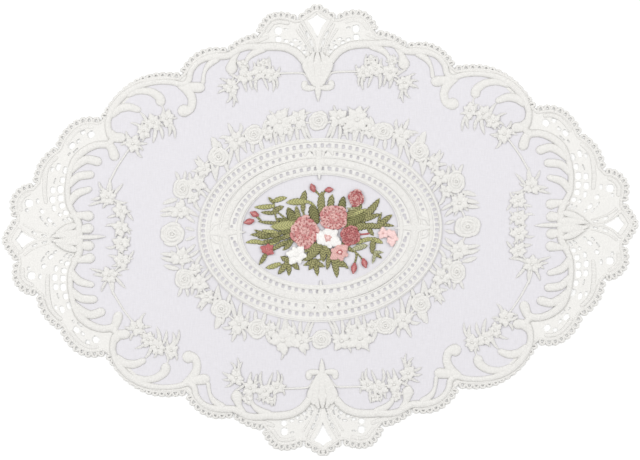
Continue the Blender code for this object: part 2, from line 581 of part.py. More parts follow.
def solid_from(relief, outline=None, panel_edge=None, step_loop=None):
    """Closed mesh of a relief: raised top, flat underside and upright sides.

    Outside the step loop the underside is on the table, inside it on the sewn height.
    """
    verts, tris = kept_triangles(relief, outline, panel_edge)
    loops = boundary_loops(tris)
    loops = [loop if area([verts[i] for i in loop]) > 0 else loop[::-1] for loop in loops]
    rims = [[verts[i] for i in loop] for loop in loops]
    flat, flat_tris, covers, origins = triangulate(rims + ([step_loop] if step_loop else []), [], [])
    on_rims = [i for loop in loops for i in loop]
    top_of = {n: on_rims[o] for n, origin in enumerate(origins) for o in origin if o < len(on_rims)}

    bm = bmesh.new()
    tops = {}
    for i in sorted({i for tri in tris for i in tri}):
        tops[i] = bm.verts.new((verts[i].x * MM, verts[i].y * MM, relief.height(verts[i]) * MM))
    for tri in tris:
        bm.faces.new([tops[i] for i in tri])

    lows = {}

    def low(i, level):
        if (i, level) not in lows:
            lows[(i, level)] = bm.verts.new((flat[i].x * MM, flat[i].y * MM, level * MM))
        return lows[(i, level)]

    levels = {}
    for tri, cover in zip(flat_tris, covers):
        if sum(1 for c in cover if c < len(rims)) % 2 == 0:
            continue
        on_table = step_loop and len(rims) not in cover
        level = 0.0 if on_table else relief.bottom
        bm.faces.new([low(i, level) for i in reversed(tri)])
        for side in sides_of(tri):
            levels[side] = level
    for (a, b), level in levels.items():
        other = levels.get((b, a))
        if other is None:
            bm.faces.new([low(a, level), low(b, level), tops[top_of[b]], tops[top_of[a]]])
        elif other > level:
            bm.faces.new([low(a, level), low(b, level), low(b, other), low(a, other)])
    bmesh.ops.recalc_face_normals(bm, faces=bm.faces)
    return bm


def material(slot):
    """A plain thread or cloth material."""
    red, green, blue, roughness = THREADS[slot]
    made = bpy.data.materials.get(slot)
    if made is None:
        made = bpy.data.materials.new(slot)
        made.use_nodes = True
        shader = made.node_tree.nodes["Principled BSDF"]
        shader.inputs["Base Color"].default_value = (red, green, blue, 1)
        shader.inputs["Roughness"].default_value = roughness
    return made


def add_relief(name, bm, slot, collection):
    """An object made from a relief's mesh, in its thread's material."""
    mesh = bpy.data.meshes.new(name)
    bm.to_mesh(mesh)
    bm.free()
    mesh.materials.append(material(slot))
    collection.objects.link(bpy.data.objects.new(name, mesh))


def inset(loop, distance):
    """A closed loop moved inwards by a distance; it runs clockwise."""
    moved = []
    for i, here in enumerate(loop):
        run = Vector(loop[(i + 1) % len(loop)]) - Vector(loop[i - 1])
        moved.append(Vector(here) + Vector((run.y, -run.x)).normalized() * distance)
    return moved


def add_panel(seam, collection):
    """The sheer panel: a flat filled outline."""
    curve = bpy.data.curves.new("organza_panel", "CURVE")
    curve.dimensions = "2D"
    curve.fill_mode = "BOTH"
    curve.extrude = PANEL_TOP * MM / 2
    spline = curve.splines.new("POLY")
    outline = inset(seam, GAP / 2)
    spline.points.add(len(outline) - 1)
    for point, place in zip(spline.points, outline):
        point.co = (place.x * MM, place.y * MM, 0, 1)
    spline.use_cyclic_u = True
    panel = bpy.data.objects.new("organza_panel", curve)
    panel.location.z = PANEL_TOP * MM / 2
    curve.materials.append(material("organza"))
    collection.objects.link(panel)


def add_border(seam, collection):
    """The lace border: ground, main band, scrolls, sprays and crests in one piece."""
    border = Relief(SEWN_BOTTOM, LACE_TOP, LACE_RISE)
    band = seam_loop()
    half = len(band) // 2
    border.ribbon(band[:half + 1])
    border.ribbon(band[half:] + band[:1])
    for stations in SCROLLS.values():
        for image in four_ways(smooth(stations, STATION_STEP)):
            border.ribbon(image)
    for stations in TOP_SCROLLS.values():
        for sign in (1, -1):
            border.ribbon([(x, sign * y, wide) for x, y, wide in smooth(stations, STATION_STEP)])
    for stations in END_SCROLLS.values():
        for sign in (1, -1):
            border.ribbon([(sign * x, y, wide) for x, y, wide in smooth(stations, STATION_STEP)])
    add_sprays(border, SPRAY_FLOWERS, SPRAY_LEAVES)
    for image in four_ways(SPRAY_STEM):
        border.ribbon(image, ridged=False)
    for row in LACE_GAPS:
        for sx in (1, -1):
            for sy in (1, -1):
                border.gap((sx * row[0], sy * row[1], row[2], row[3], sx * sy * row[4]))
    top_gap = TOP_CREST_GAP + tuple((-x, y) for x, y in reversed(TOP_CREST_GAP[1:-1]))
    end_gap = END_CREST_GAP + tuple((x, -y) for x, y in reversed(END_CREST_GAP[1:-1]))
    for sign in (1, -1):
        border.gaps.append([Vector(lay((x, sign * y))) for x, y in top_gap])
        border.gaps.append([Vector(lay((sign * x, y))) for x, y in end_gap])
    outline = [Vector(lay(p)) for p in edge_loop()]
    bm = solid_from(border, outline, seam, inset(seam, -GAP / 2))
    add_relief("lace_border", bm, "white", collection)


def add_sprays(relief, flowers, leaves):
    """Flowers and leaves of a quarter, mirrored round."""
    for sx in (1, -1):
        for sy in (1, -1):
            for x, y, radius, petals in flowers:
                relief.star(sx * x, sy * y, radius, radius, petals)
            for x0, y0, x1, y1, width, bend in leaves:
                relief.leaf((sx * x0, sy * y0, sx * x1, sy * y1, width, sx * sy * bend))


def ellipse(half_axes):
    """Points round an oval of the ring."""
    turns = [2 * math.pi * (k + 0.5) / RING_POINTS for k in range(RING_POINTS)]
    return [Vector(lay((half_axes[0] * math.cos(a), half_axes[1] * math.sin(a)))) for a in turns]


def add_wreath(collection):
    """The wreath: an embroidered oval ring with a garland of roses, flowers and leaves."""
    wreath = Relief(SEWN_BOTTOM, LACE_TOP, LACE_RISE)
    for share, width in RING_ROWS:
        loop = ellipse([a + (b - a) * share for a, b in zip(RING_OUTER, RING_INNER)])
        for start, end in zip(loop, loop[1:] + loop[:1]):
            wreath.edges.append((start, end))
            if width:
                wreath.slopes.append((start, end, width, width))
    for sx in (1, -1):
        for sy in (1, -1):
            for x, y, half_length, half_height in WREATH_ROSES:
                wreath.rose(sx * x, sy * y, half_length, half_height)
    for sign in (1, -1):
        x, y, half_length, half_height = TOP_WREATH_ROSE
        wreath.rose(x, sign * y, half_length, half_height)
        x, y, half_length, half_height = END_WREATH_ROSE
        wreath.rose(sign * x, y, half_length, half_height)
    add_sprays(wreath, WREATH_FLOWERS, WREATH_LEAVES)
    for image in four_ways(WREATH_STEM):
        wreath.ribbon(image, ridged=False)
    wreath.shapes.append(ellipse(RING_OUTER))
    wreath.gaps.append(ellipse(RING_INNER))
    add_relief("wreath_ring", solid_from(wreath), "white", collection)


def add_foliage(collection):
    """Leaves and stems of the bouquet in one piece."""
    foliage = Relief(SEWN_BOTTOM, LEAF_TOP, LEAF_RISE)
    for row in BOUQUET_LEAVES:
        foliage.leaf(row)
    for stations in BOUQUET_STEMS:
        foliage.ribbon(stations, ridged=False)
    foliage.shapes.append([Vector(lay(p)) for p in BOUQUET_UNDERLAY])
    add_relief("bouquet_leaves", solid_from(foliage), "leaf_green", collection)


def add_blooms(collection):
    """The bouquet's blooms, one piece each, raised over the leaves."""
    for name, (x, y, half_length, half_height, petals, slot) in BLOOMS.items():
        bloom = Relief(BLOOM_BOTTOM, BLOOM_TOP, BLOOM_RISE)
        if petals:
            bloom.star(x, y, half_length, half_height, petals)
        else:
            bloom.rose(x, y, half_length, half_height)
        add_relief(name, solid_from(bloom), slot, collection)


def main():
    for old in list(bpy.data.objects):
        bpy.data.objects.remove(old)
    doily = bpy.data.collections.new(DOILY)
    bpy.context.scene.collection.children.link(doily)
    seam = [Vector(lay(p[:2])) for p in seam_loop()]
    add_panel(seam, doily)
    add_border(seam, doily)
    add_wreath(doily)
    add_foliage(doily)
    add_blooms(doily)


main()
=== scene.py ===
# Oval lace doily on a pale table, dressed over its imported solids: sheer panel, stitched lace,
# wreath ring with a garland, and a coloured bouquet. Lengths in the tables are in millimetres.
import math

import bpy
import numpy as np
from mathutils import Matrix, Vector
from mathutils.geometry import delaunay_2d_cdt


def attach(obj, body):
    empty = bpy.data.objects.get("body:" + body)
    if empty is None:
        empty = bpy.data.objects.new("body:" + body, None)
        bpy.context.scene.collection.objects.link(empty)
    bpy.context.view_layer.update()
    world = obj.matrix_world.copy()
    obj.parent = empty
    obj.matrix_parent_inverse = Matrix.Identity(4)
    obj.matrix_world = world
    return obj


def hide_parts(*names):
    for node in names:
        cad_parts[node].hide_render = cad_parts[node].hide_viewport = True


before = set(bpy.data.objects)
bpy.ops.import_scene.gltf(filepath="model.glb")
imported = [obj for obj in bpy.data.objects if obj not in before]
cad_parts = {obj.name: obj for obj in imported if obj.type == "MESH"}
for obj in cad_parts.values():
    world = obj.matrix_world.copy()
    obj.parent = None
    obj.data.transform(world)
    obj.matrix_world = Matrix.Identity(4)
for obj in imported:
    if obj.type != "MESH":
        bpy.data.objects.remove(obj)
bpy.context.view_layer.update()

MM = 0.001
MERGE = 0.002
OUTLINE_STEP = 2.0

# Heights above the table.
PANEL_BOTTOM = 0.7
PANEL_TOP = 1.0
NET_BOTTOM = 0.15
NET_TOP = 0.9
SEWN = 1.0
BAND_RISE = 1.25
STROKE_RISE = 1.0
LEAF_BASE = 1.05
BLOOM_BASE = 1.9

# Edge loops: one picot each pitch. Depths are measured in from the tips.
PICOT_PITCH = 4.4
PICOT_HEAD = 0.65
PICOT_FOOT = 3.4
PICOT_SPREAD = 0.4
PICOT_WIDTH = 0.88
PICOT_STEPS = 9
PICOT_RISE = 1.0
CORD_DEPTH = 4.2
CORD_WIDTH = 1.2
CORD_RISE = 1.2
EDGE_BASE = 0.15

# Strokes of thread. Columns of the sections: share of the half width, share of the rise.
SATIN = ((-1.0, 0.0), (-0.88, 0.5), (-0.5, 0.88), (0.0, 1.0), (0.5, 0.88), (0.88, 0.5), (1.0, 0.0))
VEINED = ((-1.0, 0.0), (-0.85, 0.6), (-0.5, 1.0), (0.0, 0.6), (0.5, 1.0), (0.85, 0.6), (1.0, 0.0))
CAP_TURNS = (30, 60, 84)
SATIN_STEP = 1.2
FILL_RISE = 0.25
STEM_RISE = 0.6
RIB_RISE = 0.45
RIB_LIFT = 0.9
AXIS_LIFT = 0.35
LEAF_RISE = 0.8
LEAF_STEP = 1.1
LEAF_START = 0.12
LEAF_SKEW = 0.9
LEAF_LEAST = 0.22
LEAF_LAP = 0.2
LEAF_TEETH = 0.1
LEAF_BLUNT = 0.55
LEAF_CURL = 1.5
LEAF_SWAY = 0.24
LEAF_STRETCH = 0.12
LEAF_WAVE = 0.4
SPRIGS = 4
SPRIG_REACH = 1.4
SPRIG_UNEVEN = 0.3
SPRIG_WIDTH = 1.9

# Petals. Columns: share of the radius, share of the half width.
PETAL = ((0.14, 0.3), (0.4, 0.8), (0.65, 1.0), (0.82, 0.85), (0.9, 0.55))
# A bud. Columns: share of its half length, share of its half width.
BUD = ((-0.8, 0.6), (-0.3, 1.0), (0.3, 0.9), (0.8, 0.4))
PETAL_FULL = 1.0
PETAL_UNEVEN = 0.17
PETAL_SWING = 0.14
PETAL_STEP = 1.0
PETAL_LAP = 0.15
PETAL_RISE = 0.7
FLOWER_LIFT = 0.35
KNOT = 0.2
KNOT_LIFT = 0.5

# Rings of a rose. Columns: share of the radius, half width as a share, petals, lift.
ROSE_RINGS = ((0.80, 0.2, 6, 0.0), (0.50, 0.17, 5, 0.2), (0.24, 0.13, 3, 0.35))
RUFFLED_RINGS = (
    (0.84, 0.14, 13, 0.0), (0.64, 0.13, 10, 0.1), (0.43, 0.12, 7, 0.2), (0.22, 0.1, 4, 0.3),
)
ROSE_TURN = 0.5
ROSE_LAP = 1.12
ROSE_SPIRAL = 0.04
ROSE_UNEVEN = 0.09
ROSE_TAPER = 0.45
ROSE_STEPS = 9
ROSE_BED = 0.8
ROSE_HEART = 0.12
ROSE_HEART_LIFT = 0.5
ROSE_RISE = 0.7
ROSE_BASE = 1.2
DASHES = 40
DASH_REACH = 0.82
DASH_LENGTH = 0.13
DASH_WIDTH = 0.28
DASH_LIFT = 0.4
GOLDEN_TURN = 2.4

# The wreath ring: half axes of its outer edge and of the window in it.
RING_OUTER = (76.5, 57.5)
RING_INNER = (49.0, 34.5)
RING_BOTTOM = 0.95
RING_TOP = 1.8
RING_STEPS = 220
MOTIF_RISE = 0.4
SPRIG_BASE = 0.2
CORD_SINK = 0.05
# Rows of holes. Columns: half axes x and y, number, half length, half width,
# and how much is left out on either side of the top and of the end.
RING_HOLES = (
    (73.2, 52.9, 104, 1.3, 1.15, 0, 0), (66.3, 47.8, 92, 1.1, 0.95, 11, 9),
    (54.0, 38.4, 76, 1.25, 1.1, 0, 7.6),
)
# Single holes, a quarter of them. Columns as in HOLES.
RING_SPOTS = (
    (53.6, 6.2, 0.9, 1.0, 0), (55.2, 3.7, 0.9, 0.9, 0), (57.6, 1.9, 0.9, 0.8, 0),
    (5.4, 52.4, 0.9, 0.8, 0), (4, 48.8, 0.8, 1.0, 0), (6, 38.6, 0.9, 1.0, 0),
)
# Strokes at the four ends of its axes, a quarter of them. Columns: x, y, half width.
RING_MOTIFS = (
    ((0.6, 50.6, 0.5), (0.5, 46, 1.5), (0.5, 40, 1.6), (0, 35, 1.0), (0, 31.6, 0.3)),
    ((2.4, 45.6, 0.8), (3.4, 49.4, 1.0), (6.4, 50.2, 1.1), (8.6, 47.4, 1.0)),
    ((1.6, 42.2, 0.8), (4.4, 42.8, 1.0), (7.6, 40.6, 0.8)),
    ((69, 0.4, 0.5), (64, 0.5, 1.6), (57, 0.4, 1.6), (51, 0, 1.0), (47, 0, 0.3)),
    ((62, 1.8, 0.8), (58.4, 4.6, 1.0), (57.6, 8.4, 0.9)),
    ((68, 2.4, 0.8), (66.4, 5.2, 1.0), (62.6, 6.4, 0.9)),
)
# The low sprigs on its satin row: half axes x and y, number, half length, half width, lean in degrees, rise.
RING_SPRIGS = (59.4, 42.6, 56, 2.1, 0.8, 38, 0.45)
# Cords. Columns: half axes x and y, half width, rise.
RING_CORDS = (
    (75.5, 56.0, 0.9, 0.5), (69.8, 50.4, 1.25, 0.4), (63.6, 45.6, 0.6, 0.4), (59.4, 42.6, 2.6, 0.5),
    (50.9, 36.2, 1.3, 0.5),
)

# Looks.
SPECKLE_SCALE = 480
JITTER_SCALE = 900
BUMP_DEPTH = 0.0002
NET_CELLS = 1300
# Painted shade in the net's dimples: the colour at their sunk middles.
NET_DIMPLE_SHADE = (0.68, 0.67, 0.65)
NET_COLOUR = (0.75, 0.74, 0.715)
ORGANZA_DARK = (0.66, 0.645, 0.67)
ORGANZA_LIGHT = (0.85, 0.835, 0.875)
ORGANZA_COVER = 0.85
PANEL_GRID = 5
RIPPLE = 0.12
HOLE_CORNERS = 12
HOLE_SQUARE = 0.7
FLOOR_COLOUR = (0.92, 0.92, 0.915)

# The studio. Columns of the lights: name, place in metres, side in metres, watts.
LIGHTS = (
    ("left_light", (-1.3, 0.4, 1.2), 0.9, 14),
    ("right_light", (1.3, 0.4, 1.2), 0.9, 12),
)
WORLD_STRENGTH = 0.75
LENS = 100
SENSOR = 36
PHOTO_WIDTH = 400.6
PHOTO_ROLL = 1.05

# How unevenly the cloth lies: the left end is a little low and the lower half a little narrow.
LEFT_DROP = 1.4
TILT = 0.0075
LOWER_NARROW = 0.004
SHEAR = 0.004

# A quarter of the outer edge, from the top crest round to the end crest.
# Columns: x, y. Each row is one lobe between two notched corners.
EDGE_LOBES = (
    ((0, 142.0), (3.5, 140.6), (8, 137.4), (12.3, 134.6)),
    ((12.3, 134.6), (17, 136.6), (24, 137.6), (31, 135.8), (35.8, 130.4), (37.8, 126.6), (37.6, 124.2)),
    ((37.6, 124.2), (42, 123.9), (49, 121), (53, 118.6), (56.4, 116)),
    ((56.4, 116), (61, 116.4), (68, 116.3), (75.5, 113.6), (82.2, 107.8), (85.4, 103.4), (85.8, 101.2)),
    ((85.8, 101.2), (91, 101.6), (100, 101.7), (111, 99.2), (122, 92.4), (130.2, 83.6), (135.4, 76.4),
     (136, 74.6)),
    ((136, 74.6), (140.4, 75.4), (147, 75.3), (154.6, 71.9), (160.8, 65.4), (163.6, 60.4), (164.6, 57.8)),
    ((164.6, 57.8), (169.6, 54.4), (175.3, 47.7), (178.5, 39.5), (178.9, 35.2)),
    ((178.9, 35.2), (183.4, 35), (189.4, 31.4), (193.4, 25), (193.4, 17.5), (192, 13.6)),
    ((192, 13.6), (194.6, 9.6), (197.6, 5.2), (199.8, 0)),
)

# The seam, where the main band of the border crosses the panel's edge, a quarter of it.
# Columns: x, y, half width of the band.
SEAM = (
    (0, 104, 2.6), (6.2, 103.8, 2.6), (9.2, 107, 2.6), (13.5, 111.5, 2.6), (20, 114.6, 2.6),
    (28, 115.6, 2.7), (35, 115.4, 2.6), (41, 115.9, 2.3), (47, 115.1, 2.3), (52, 112.6, 2.2),
    (56, 110.6, 2.3), (62, 110.4, 2.5), (69, 109.5, 2.1), (75, 106.6, 1.8), (79.1, 101.5, 1.9),
    (80.6, 96, 2.0), (84.5, 93.6, 2.0), (91, 95.1, 1.8), (100, 95.5, 1.7), (110, 93.9, 2.0),
    (118, 90.2, 2.2), (124.5, 84.6, 2.3), (129, 78, 2.2), (131.2, 71, 2.0), (130.3, 64.5, 2.3),
    (128.9, 60.5, 2.1), (132, 57.6, 2.3), (138, 57.5, 2.4), (145, 54.9, 2.5), (151.2, 49.8, 2.5),
    (154.8, 43, 2.0), (156.6, 35.5, 1.8), (157.1, 28, 1.8), (156.3, 20.5, 1.8), (153.2, 14, 2.1),
    (151, 8.5, 2.5), (150.6, 0, 2.5),
)

# Raised satin scrolls of the border, a quarter of them. Columns: x, y, half width.
SCROLLS = {
    "palmette_curl": ((2, 89.4, 1.8), (5.2, 88.9, 2.1), (8, 89.7, 2.4), (8.2, 91.6, 2.2)),
    "top_stem": (
        (5.6, 94.6, 1.0), (7.4, 97, 0.8), (12, 98.6, 0.7), (36, 98.4, 0.7), (45.2, 97.4, 0.7),
        (53.8, 90.6, 0.7)),
    "arch_inner_branch": ((34, 114, 2.2), (40, 111.6, 2.2), (44, 107.6, 1.4), (45, 102, 0.9)),
    "arch_outer_branch": ((49.5, 112.6, 1.6), (52.4, 108.4, 2.0), (53.7, 102.9, 3.9)),
    "cap_inner_branch": ((63, 108.6, 2.2), (68, 105.2, 2.0), (70.7, 100.4, 1.2), (71.6, 94.5, 1.4)),
    "cap_end": ((82, 92, 3.0), (74, 91.3, 3.5)),
    "c_tail": (
        (85.5, 92.9, 2.4), (80.8, 89, 3.0), (78.5, 83.5, 2.7), (79.8, 78.3, 2.9), (83.6, 77.1, 4.1)),
    "c_first_leaf": (
        (118, 88.6, 2.2), (111.5, 90.3, 2.2), (104.5, 89.6, 2.6), (99.3, 86.3, 3.0), (98.2, 83.5, 3.2)),
    "c_second_leaf": ((128, 76.5, 2.4), (123.8, 79.6, 2.8), (118, 80.5, 2.7), (112.6, 78.7, 2.1)),
    "c_end": ((130.6, 65.6, 2.4), (127.2, 62.1, 3.2), (123.4, 61.5, 3.3)),
    "shell_end": ((134.5, 58, 2.2), (129.8, 56, 2.8), (127.6, 50.4, 3.3)),
    "shell_leaf_one": ((154.6, 42, 2.2), (150, 46.2, 2.7), (144.5, 48.6, 2.8), (138.4, 47.2, 3.0)),
    "shell_leaf_two": ((156.3, 33, 2.2), (150.6, 38, 2.7), (143, 39, 2.7)),
    "shell_leaf_three": ((156.2, 21.5, 2.2), (151.6, 27.2, 2.7), (144, 29.8, 2.0)),
    "volute_upper": ((154, 13.8, 2.2), (149.4, 13.8, 2.4), (144.6, 13.2, 3.4)),
    "volute_lower": ((152.5, 4.8, 2.4), (149, 5.0, 2.6), (145, 5.4, 3.5)),
}

# Scrolls that lie on an axis: at the top they are mirrored downwards, at the end sideways.
TOP_SCROLLS = {
    "palmette_middle": (
        (0, 110.4, 1.2), (0, 106, 2.6), (0, 97, 2.8), (0, 90, 2.2), (0, 85, 1.7), (0, 80.6, 0.3)),
}
END_SCROLLS = {
    "pendant": ((158, 0, 2.0), (150, 0, 1.6), (142, 0, 1.5), (138, 0, 1.1), (134.6, 0, 0.3)),
}

# Ribs of the palmettes under the crests, a quarter of them. Columns: x, y, half width.
PALMETTE_RIBS = (
    ((2.6, 110.6, 1.0), (4.4, 105, 2.2), (3.4, 98, 2.0), (2.0, 91, 1.4)),
    ((5.6, 108, 1.2), (7.6, 103.4, 2.2), (5.6, 97.6, 1.8), (3.2, 92, 1.2)),
    ((167, 1.4, 0.8), (160, 2.2, 2.5), (152.6, 2.4, 2.7)),
    ((164.6, 3.6, 0.8), (158.4, 6, 2.3), (154, 7.4, 2.0)),
)

# Ogee gaps of the two crests, half of each. Columns: x, y.
TOP_CREST_GAP = ((0, 135.7), (2.1, 133.4), (6.4, 131.5), (3.6, 128), (1.7, 124), (0, 120.4))
END_CREST_GAP = ((191.2, 0), (189.2, 2.0), (186.8, 5.8), (184, 3.0), (181, 1.3), (177.4, 0))

# Small holes of the lace, a quarter of them. Columns: x, y, half length, half width, turn in degrees.
HOLES = (
    (24.2, 125.5, 2.6, 2.5, 0), (24.4, 120.2, 2.3, 1.9, 0), (19.4, 126.2, 1.5, 0.6, 8),
    (19.4, 118.9, 1.8, 1.1, 5), (13.8, 119.4, 1.8, 0.8, 5), (15.9, 116.8, 1.8, 1.4, 25),
    (11.4, 114.3, 1.8, 1.5, 40), (10.3, 117.4, 1.4, 0.8, 45), (8.3, 111.5, 1.5, 1.4, 50),
    (7.1, 114.2, 0.7, 1.8, -20), (6.0, 122.8, 0.95, 2.2, -28), (3.7, 117.4, 0.85, 2.6, -18),
    (2.3, 112.4, 0.6, 2.0, -14), (178.8, 3.8, 2.1, 0.8, 26), (172.6, 2.1, 1.9, 0.6, 12),
    (166.4, 1.9, 1.6, 0.5, 6), (141.9, 64.2, 2.5, 2.2, -35), (147.0, 65.8, 1.8, 1.7, 0),
    (150.0, 60.3, 1.7, 1.1, -45), (154.0, 57.6, 2.5, 1.9, -42), (151.8, 54.5, 2.2, 0.6, -42),
    (155.8, 52.4, 1.2, 0.7, -42), (158.4, 42.4, 1.8, 2.4, 20), (162.8, 44.6, 1.7, 2.4, 20),
    (166.7, 43.2, 1.2, 1.7, 15), (160.4, 36.4, 1.8, 2.1, 10), (165.1, 36.0, 0.6, 1.9, 20),
    (161.8, 30.7, 2.2, 2.4, 0), (161.8, 25.2, 2.1, 2.1, 0), (161.0, 20.4, 2.1, 1.8, -8),
    (158.9, 15.9, 2.0, 1.5, 20), (162.6, 14.7, 1.4, 1.1, 30), (157.0, 11.8, 1.7, 0.8, 45),
    (166.5, 30.3, 1.9, 2.1, 0), (166.9, 24.4, 2.0, 2.3, 0), (166.0, 18.9, 1.4, 2.1, -15),
    (159.6, 10.8, 1.8, 0.7, 38), (173.6, 17.2, 1.8, 1.5, 30), (169, 11.4, 2.2, 1.3, 40),
    (166.1, 8.6, 1.5, 0.9, 35), (174.0, 12.6, 1.9, 0.7, 55), (171.0, 8.9, 1.6, 0.7, 40),
    (181.6, 22.7, 2.8, 2.5, 0), (176.0, 23.6, 1.2, 1.8, 0), (183, 18.2, 1.2, 1.2, 0),
)

# Flat bands that follow the lobes of the edge. Columns: depth, half width, share trimmed at the ends.
LOBE_BANDS = ((6.7, 1.25, 0.13),)
BAND_LEAST = 22

# Bars of stitching between the holes of the lobes, a quarter of them. Columns: x, y, half width.
FILLS = (
    ((31.2, 121.6, 1.2), (37.4, 119.4, 1.4), (44.4, 118.8, 1.2), (50.6, 115.4, 0.9)),
    ((58.4, 113, 0.9), (66, 113, 1.1), (73.4, 110.4, 1.0), (79, 106, 0.8)),
    ((91, 98, 0.8), (100, 98.4, 0.8), (110.4, 96.6, 0.9), (119, 92.4, 0.9), (126.4, 86, 0.9),
     (131.2, 78, 0.8)),
    ((165.6, 49.6, 0.9), (169.4, 44.4, 1.2), (171, 38, 1.4), (171.6, 30, 1.4), (171, 23, 1.2)),
)

# Thin stitched lines of the crests, a quarter of them. Columns: x, y, half width.
CREST_LINES = (
    ((4.6, 135.6, 0.8), (9.4, 131.6, 1.2), (7.2, 127.2, 0.8), (4.5, 123.0, 0.6), (2.2, 118.6, 0.45),
     (1.0, 112.6, 0.4)),
    ((10.4, 128.4, 0.9), (8.0, 123.4, 0.6), (5.2, 117, 0.5), (3.7, 112.4, 0.4)),
    ((12.4, 125.4, 0.9), (8.8, 119.8, 0.6), (6.1, 115.0, 0.5), (5.2, 111, 0.4)),
    ((194.2, 0, 1.2), (192.4, 3.6, 1.2), (188.6, 8.0, 1.1), (185, 5.2, 0.7), (181, 2.7, 0.5),
     (176.4, 1.0, 0.4), (169, 0.6, 0.4)),
    ((185.4, 9.6, 0.9), (181.6, 7.0, 0.6), (176.6, 4.8, 0.5), (170, 3.2, 0.4)),
)

# Flowers of the border sprays, a quarter of them. Columns: x, y, radius, petals.
SPRAY_FLOWERS = (
    (28.5, 97.8, 4.0, 6), (36, 99.8, 4.5, 6), (45.2, 97.8, 4.6, 6), (54, 91, 4.3, 6),
    (33.2, 105.6, 2.6, 5), (46.8, 105, 2.8, 5), (94.4, 72.6, 4.3, 6), (102.8, 70.4, 4.5, 6),
    (109, 65.2, 4.1, 6), (115.8, 57.4, 4.6, 6), (132.6, 24.4, 4.8, 7), (124.2, 15.6, 4.5, 6),
    (124.6, 4.8, 4.6, 6),
)

# Leaves and long petals of the border sprays, a quarter of them.
# Columns: root x, root y, tip x, tip y, width, bend to the left.
SPRAY_LEAVES = (
    (30.5, 99, 30.2, 108.2, 2.2, 0.4), (46, 99, 46.8, 107, 2.0, -0.4), (29.5, 97, 30.6, 86.2, 2.2, -0.6),
    (35.6, 102, 35.8, 109, 2.0, -0.4), (40.4, 101, 41.6, 106.8, 2.0, 0.4),
    (26.4, 98.6, 24.4, 103.4, 1.9, 0.3),
    (27.6, 97, 27.4, 88, 1.9, -0.4), (38, 96, 36.4, 87.4, 2.2, 0.4), (34.4, 97, 33.2, 88.6, 1.9, 0.3),
    (42.4, 95.4, 41.4, 88, 2.0, 0.2), (47, 95, 46.2, 86.6, 2.2, 0.2), (48.6, 95.4, 54.6, 99.4, 2.0, 0.4),
    (52.6, 88, 51.2, 79.8, 2.0, 0.7), (53.8, 88, 54.8, 79.6, 1.9, -0.5), (54.8, 88, 58.2, 81, 2.0, -0.8),
    (56, 89.4, 62.4, 86.2, 2.0, 0.3), (56.4, 91.4, 63.4, 91, 1.9, 0.3), (55.4, 93.6, 60.6, 96.6, 1.7, 0.3),
    (98.4, 73, 97.4, 81, 2.2, 0.4), (92.6, 70, 92, 60.6, 2.2, -0.3), (94, 70, 95.6, 60.4, 2.5, -0.4),
    (99.4, 68, 98, 59.4, 2.4, -0.3), (101.6, 68, 103.4, 57.2, 2.7, -0.4), (106.6, 68, 112.6, 75.6, 2.5, 0.4),
    (110.4, 67.6, 116.6, 70.4, 2.0, 0.4), (113.6, 55.6, 108.6, 49.4, 2.2, 0.4),
    (112, 58, 106.4, 57.4, 2.0, 0.3),
    (119, 58.8, 123.4, 57.2, 2.2, 0.2), (117.6, 61, 119.4, 66.4, 2.0, -0.2), (131, 27, 130.8, 36.4, 2.4, 0.3),
    (134.4, 28, 138, 35, 2.0, -0.3), (128.4, 26, 123.6, 34.4, 2.2, -0.4), (136.6, 24.6, 143.6, 25, 2.2, 0.2),
    (136.2, 22, 143, 18.2, 2.0, -0.3), (128, 22.6, 119.6, 22.2, 2.2, 0.4), (120, 14, 117.4, 8.4, 2.0, 0.3),
    (128, 6, 135, 5, 2.0, 0.2), (120.6, 5.4, 118.2, 0.6, 2.0, 0.2), (127.4, 13, 133, 10.4, 2.0, -0.2),
)

# The thin stem that joins the corner spray and the side spray. Columns: x, y, half width.
SPRAY_STEM = (
    (98, 82, 0.5), (95.6, 74, 0.5), (102.8, 70.4, 0.5), (109, 65.2, 0.5), (115.8, 57.4, 0.6),
    (127, 41.4, 0.7), (132.4, 27, 0.7), (124.2, 15.6, 0.5), (124.4, 4.8, 0.5), (125.2, -1, 0.5),
)

# The stem under the garland of the wreath. Columns: x, y, half width.
WREATH_STEM = (
    (-1, 66.6, 0.7), (12.6, 67.6, 0.7), (24.2, 66.4, 0.7), (31.8, 61.2, 0.7), (40.3, 59.4, 0.7),
    (51.6, 57, 0.7), (62.6, 47.6, 0.7), (71.6, 39.6, 0.7), (76, 31.2, 0.7), (85.4, 28.2, 0.7),
    (87.2, 14.8, 0.7), (91, 5, 0.7), (92.2, -1, 0.7),
)

# Roses of the wreath. Columns: x, y, half length, half height.
WREATH_ROSES = ((40.3, 60.8, 6.4, 6.1), (62.6, 47.6, 6.6, 6.4), (85.4, 28.2, 6.0, 7.2))
TOP_WREATH_ROSE = (0, 68.4, 6.4, 6.2)
END_WREATH_ROSE = (92.4, 0, 8.4, 7.4)

# Flowers of the wreath, a quarter of them. Columns: x, y, radius, petals.
WREATH_FLOWERS = (
    (12.6, 69.8, 5.6, 7), (24.2, 68.4, 7.4, 8), (31.8, 61.4, 3.8, 6), (51.6, 57.6, 5.4, 7),
    (19, 63.4, 3.6, 6), (76, 31.2, 4.8, 6), (87.2, 14.8, 5.4, 7), (71.6, 39.8, 4.0, 6), (79, 22.6, 3.6, 6),
)

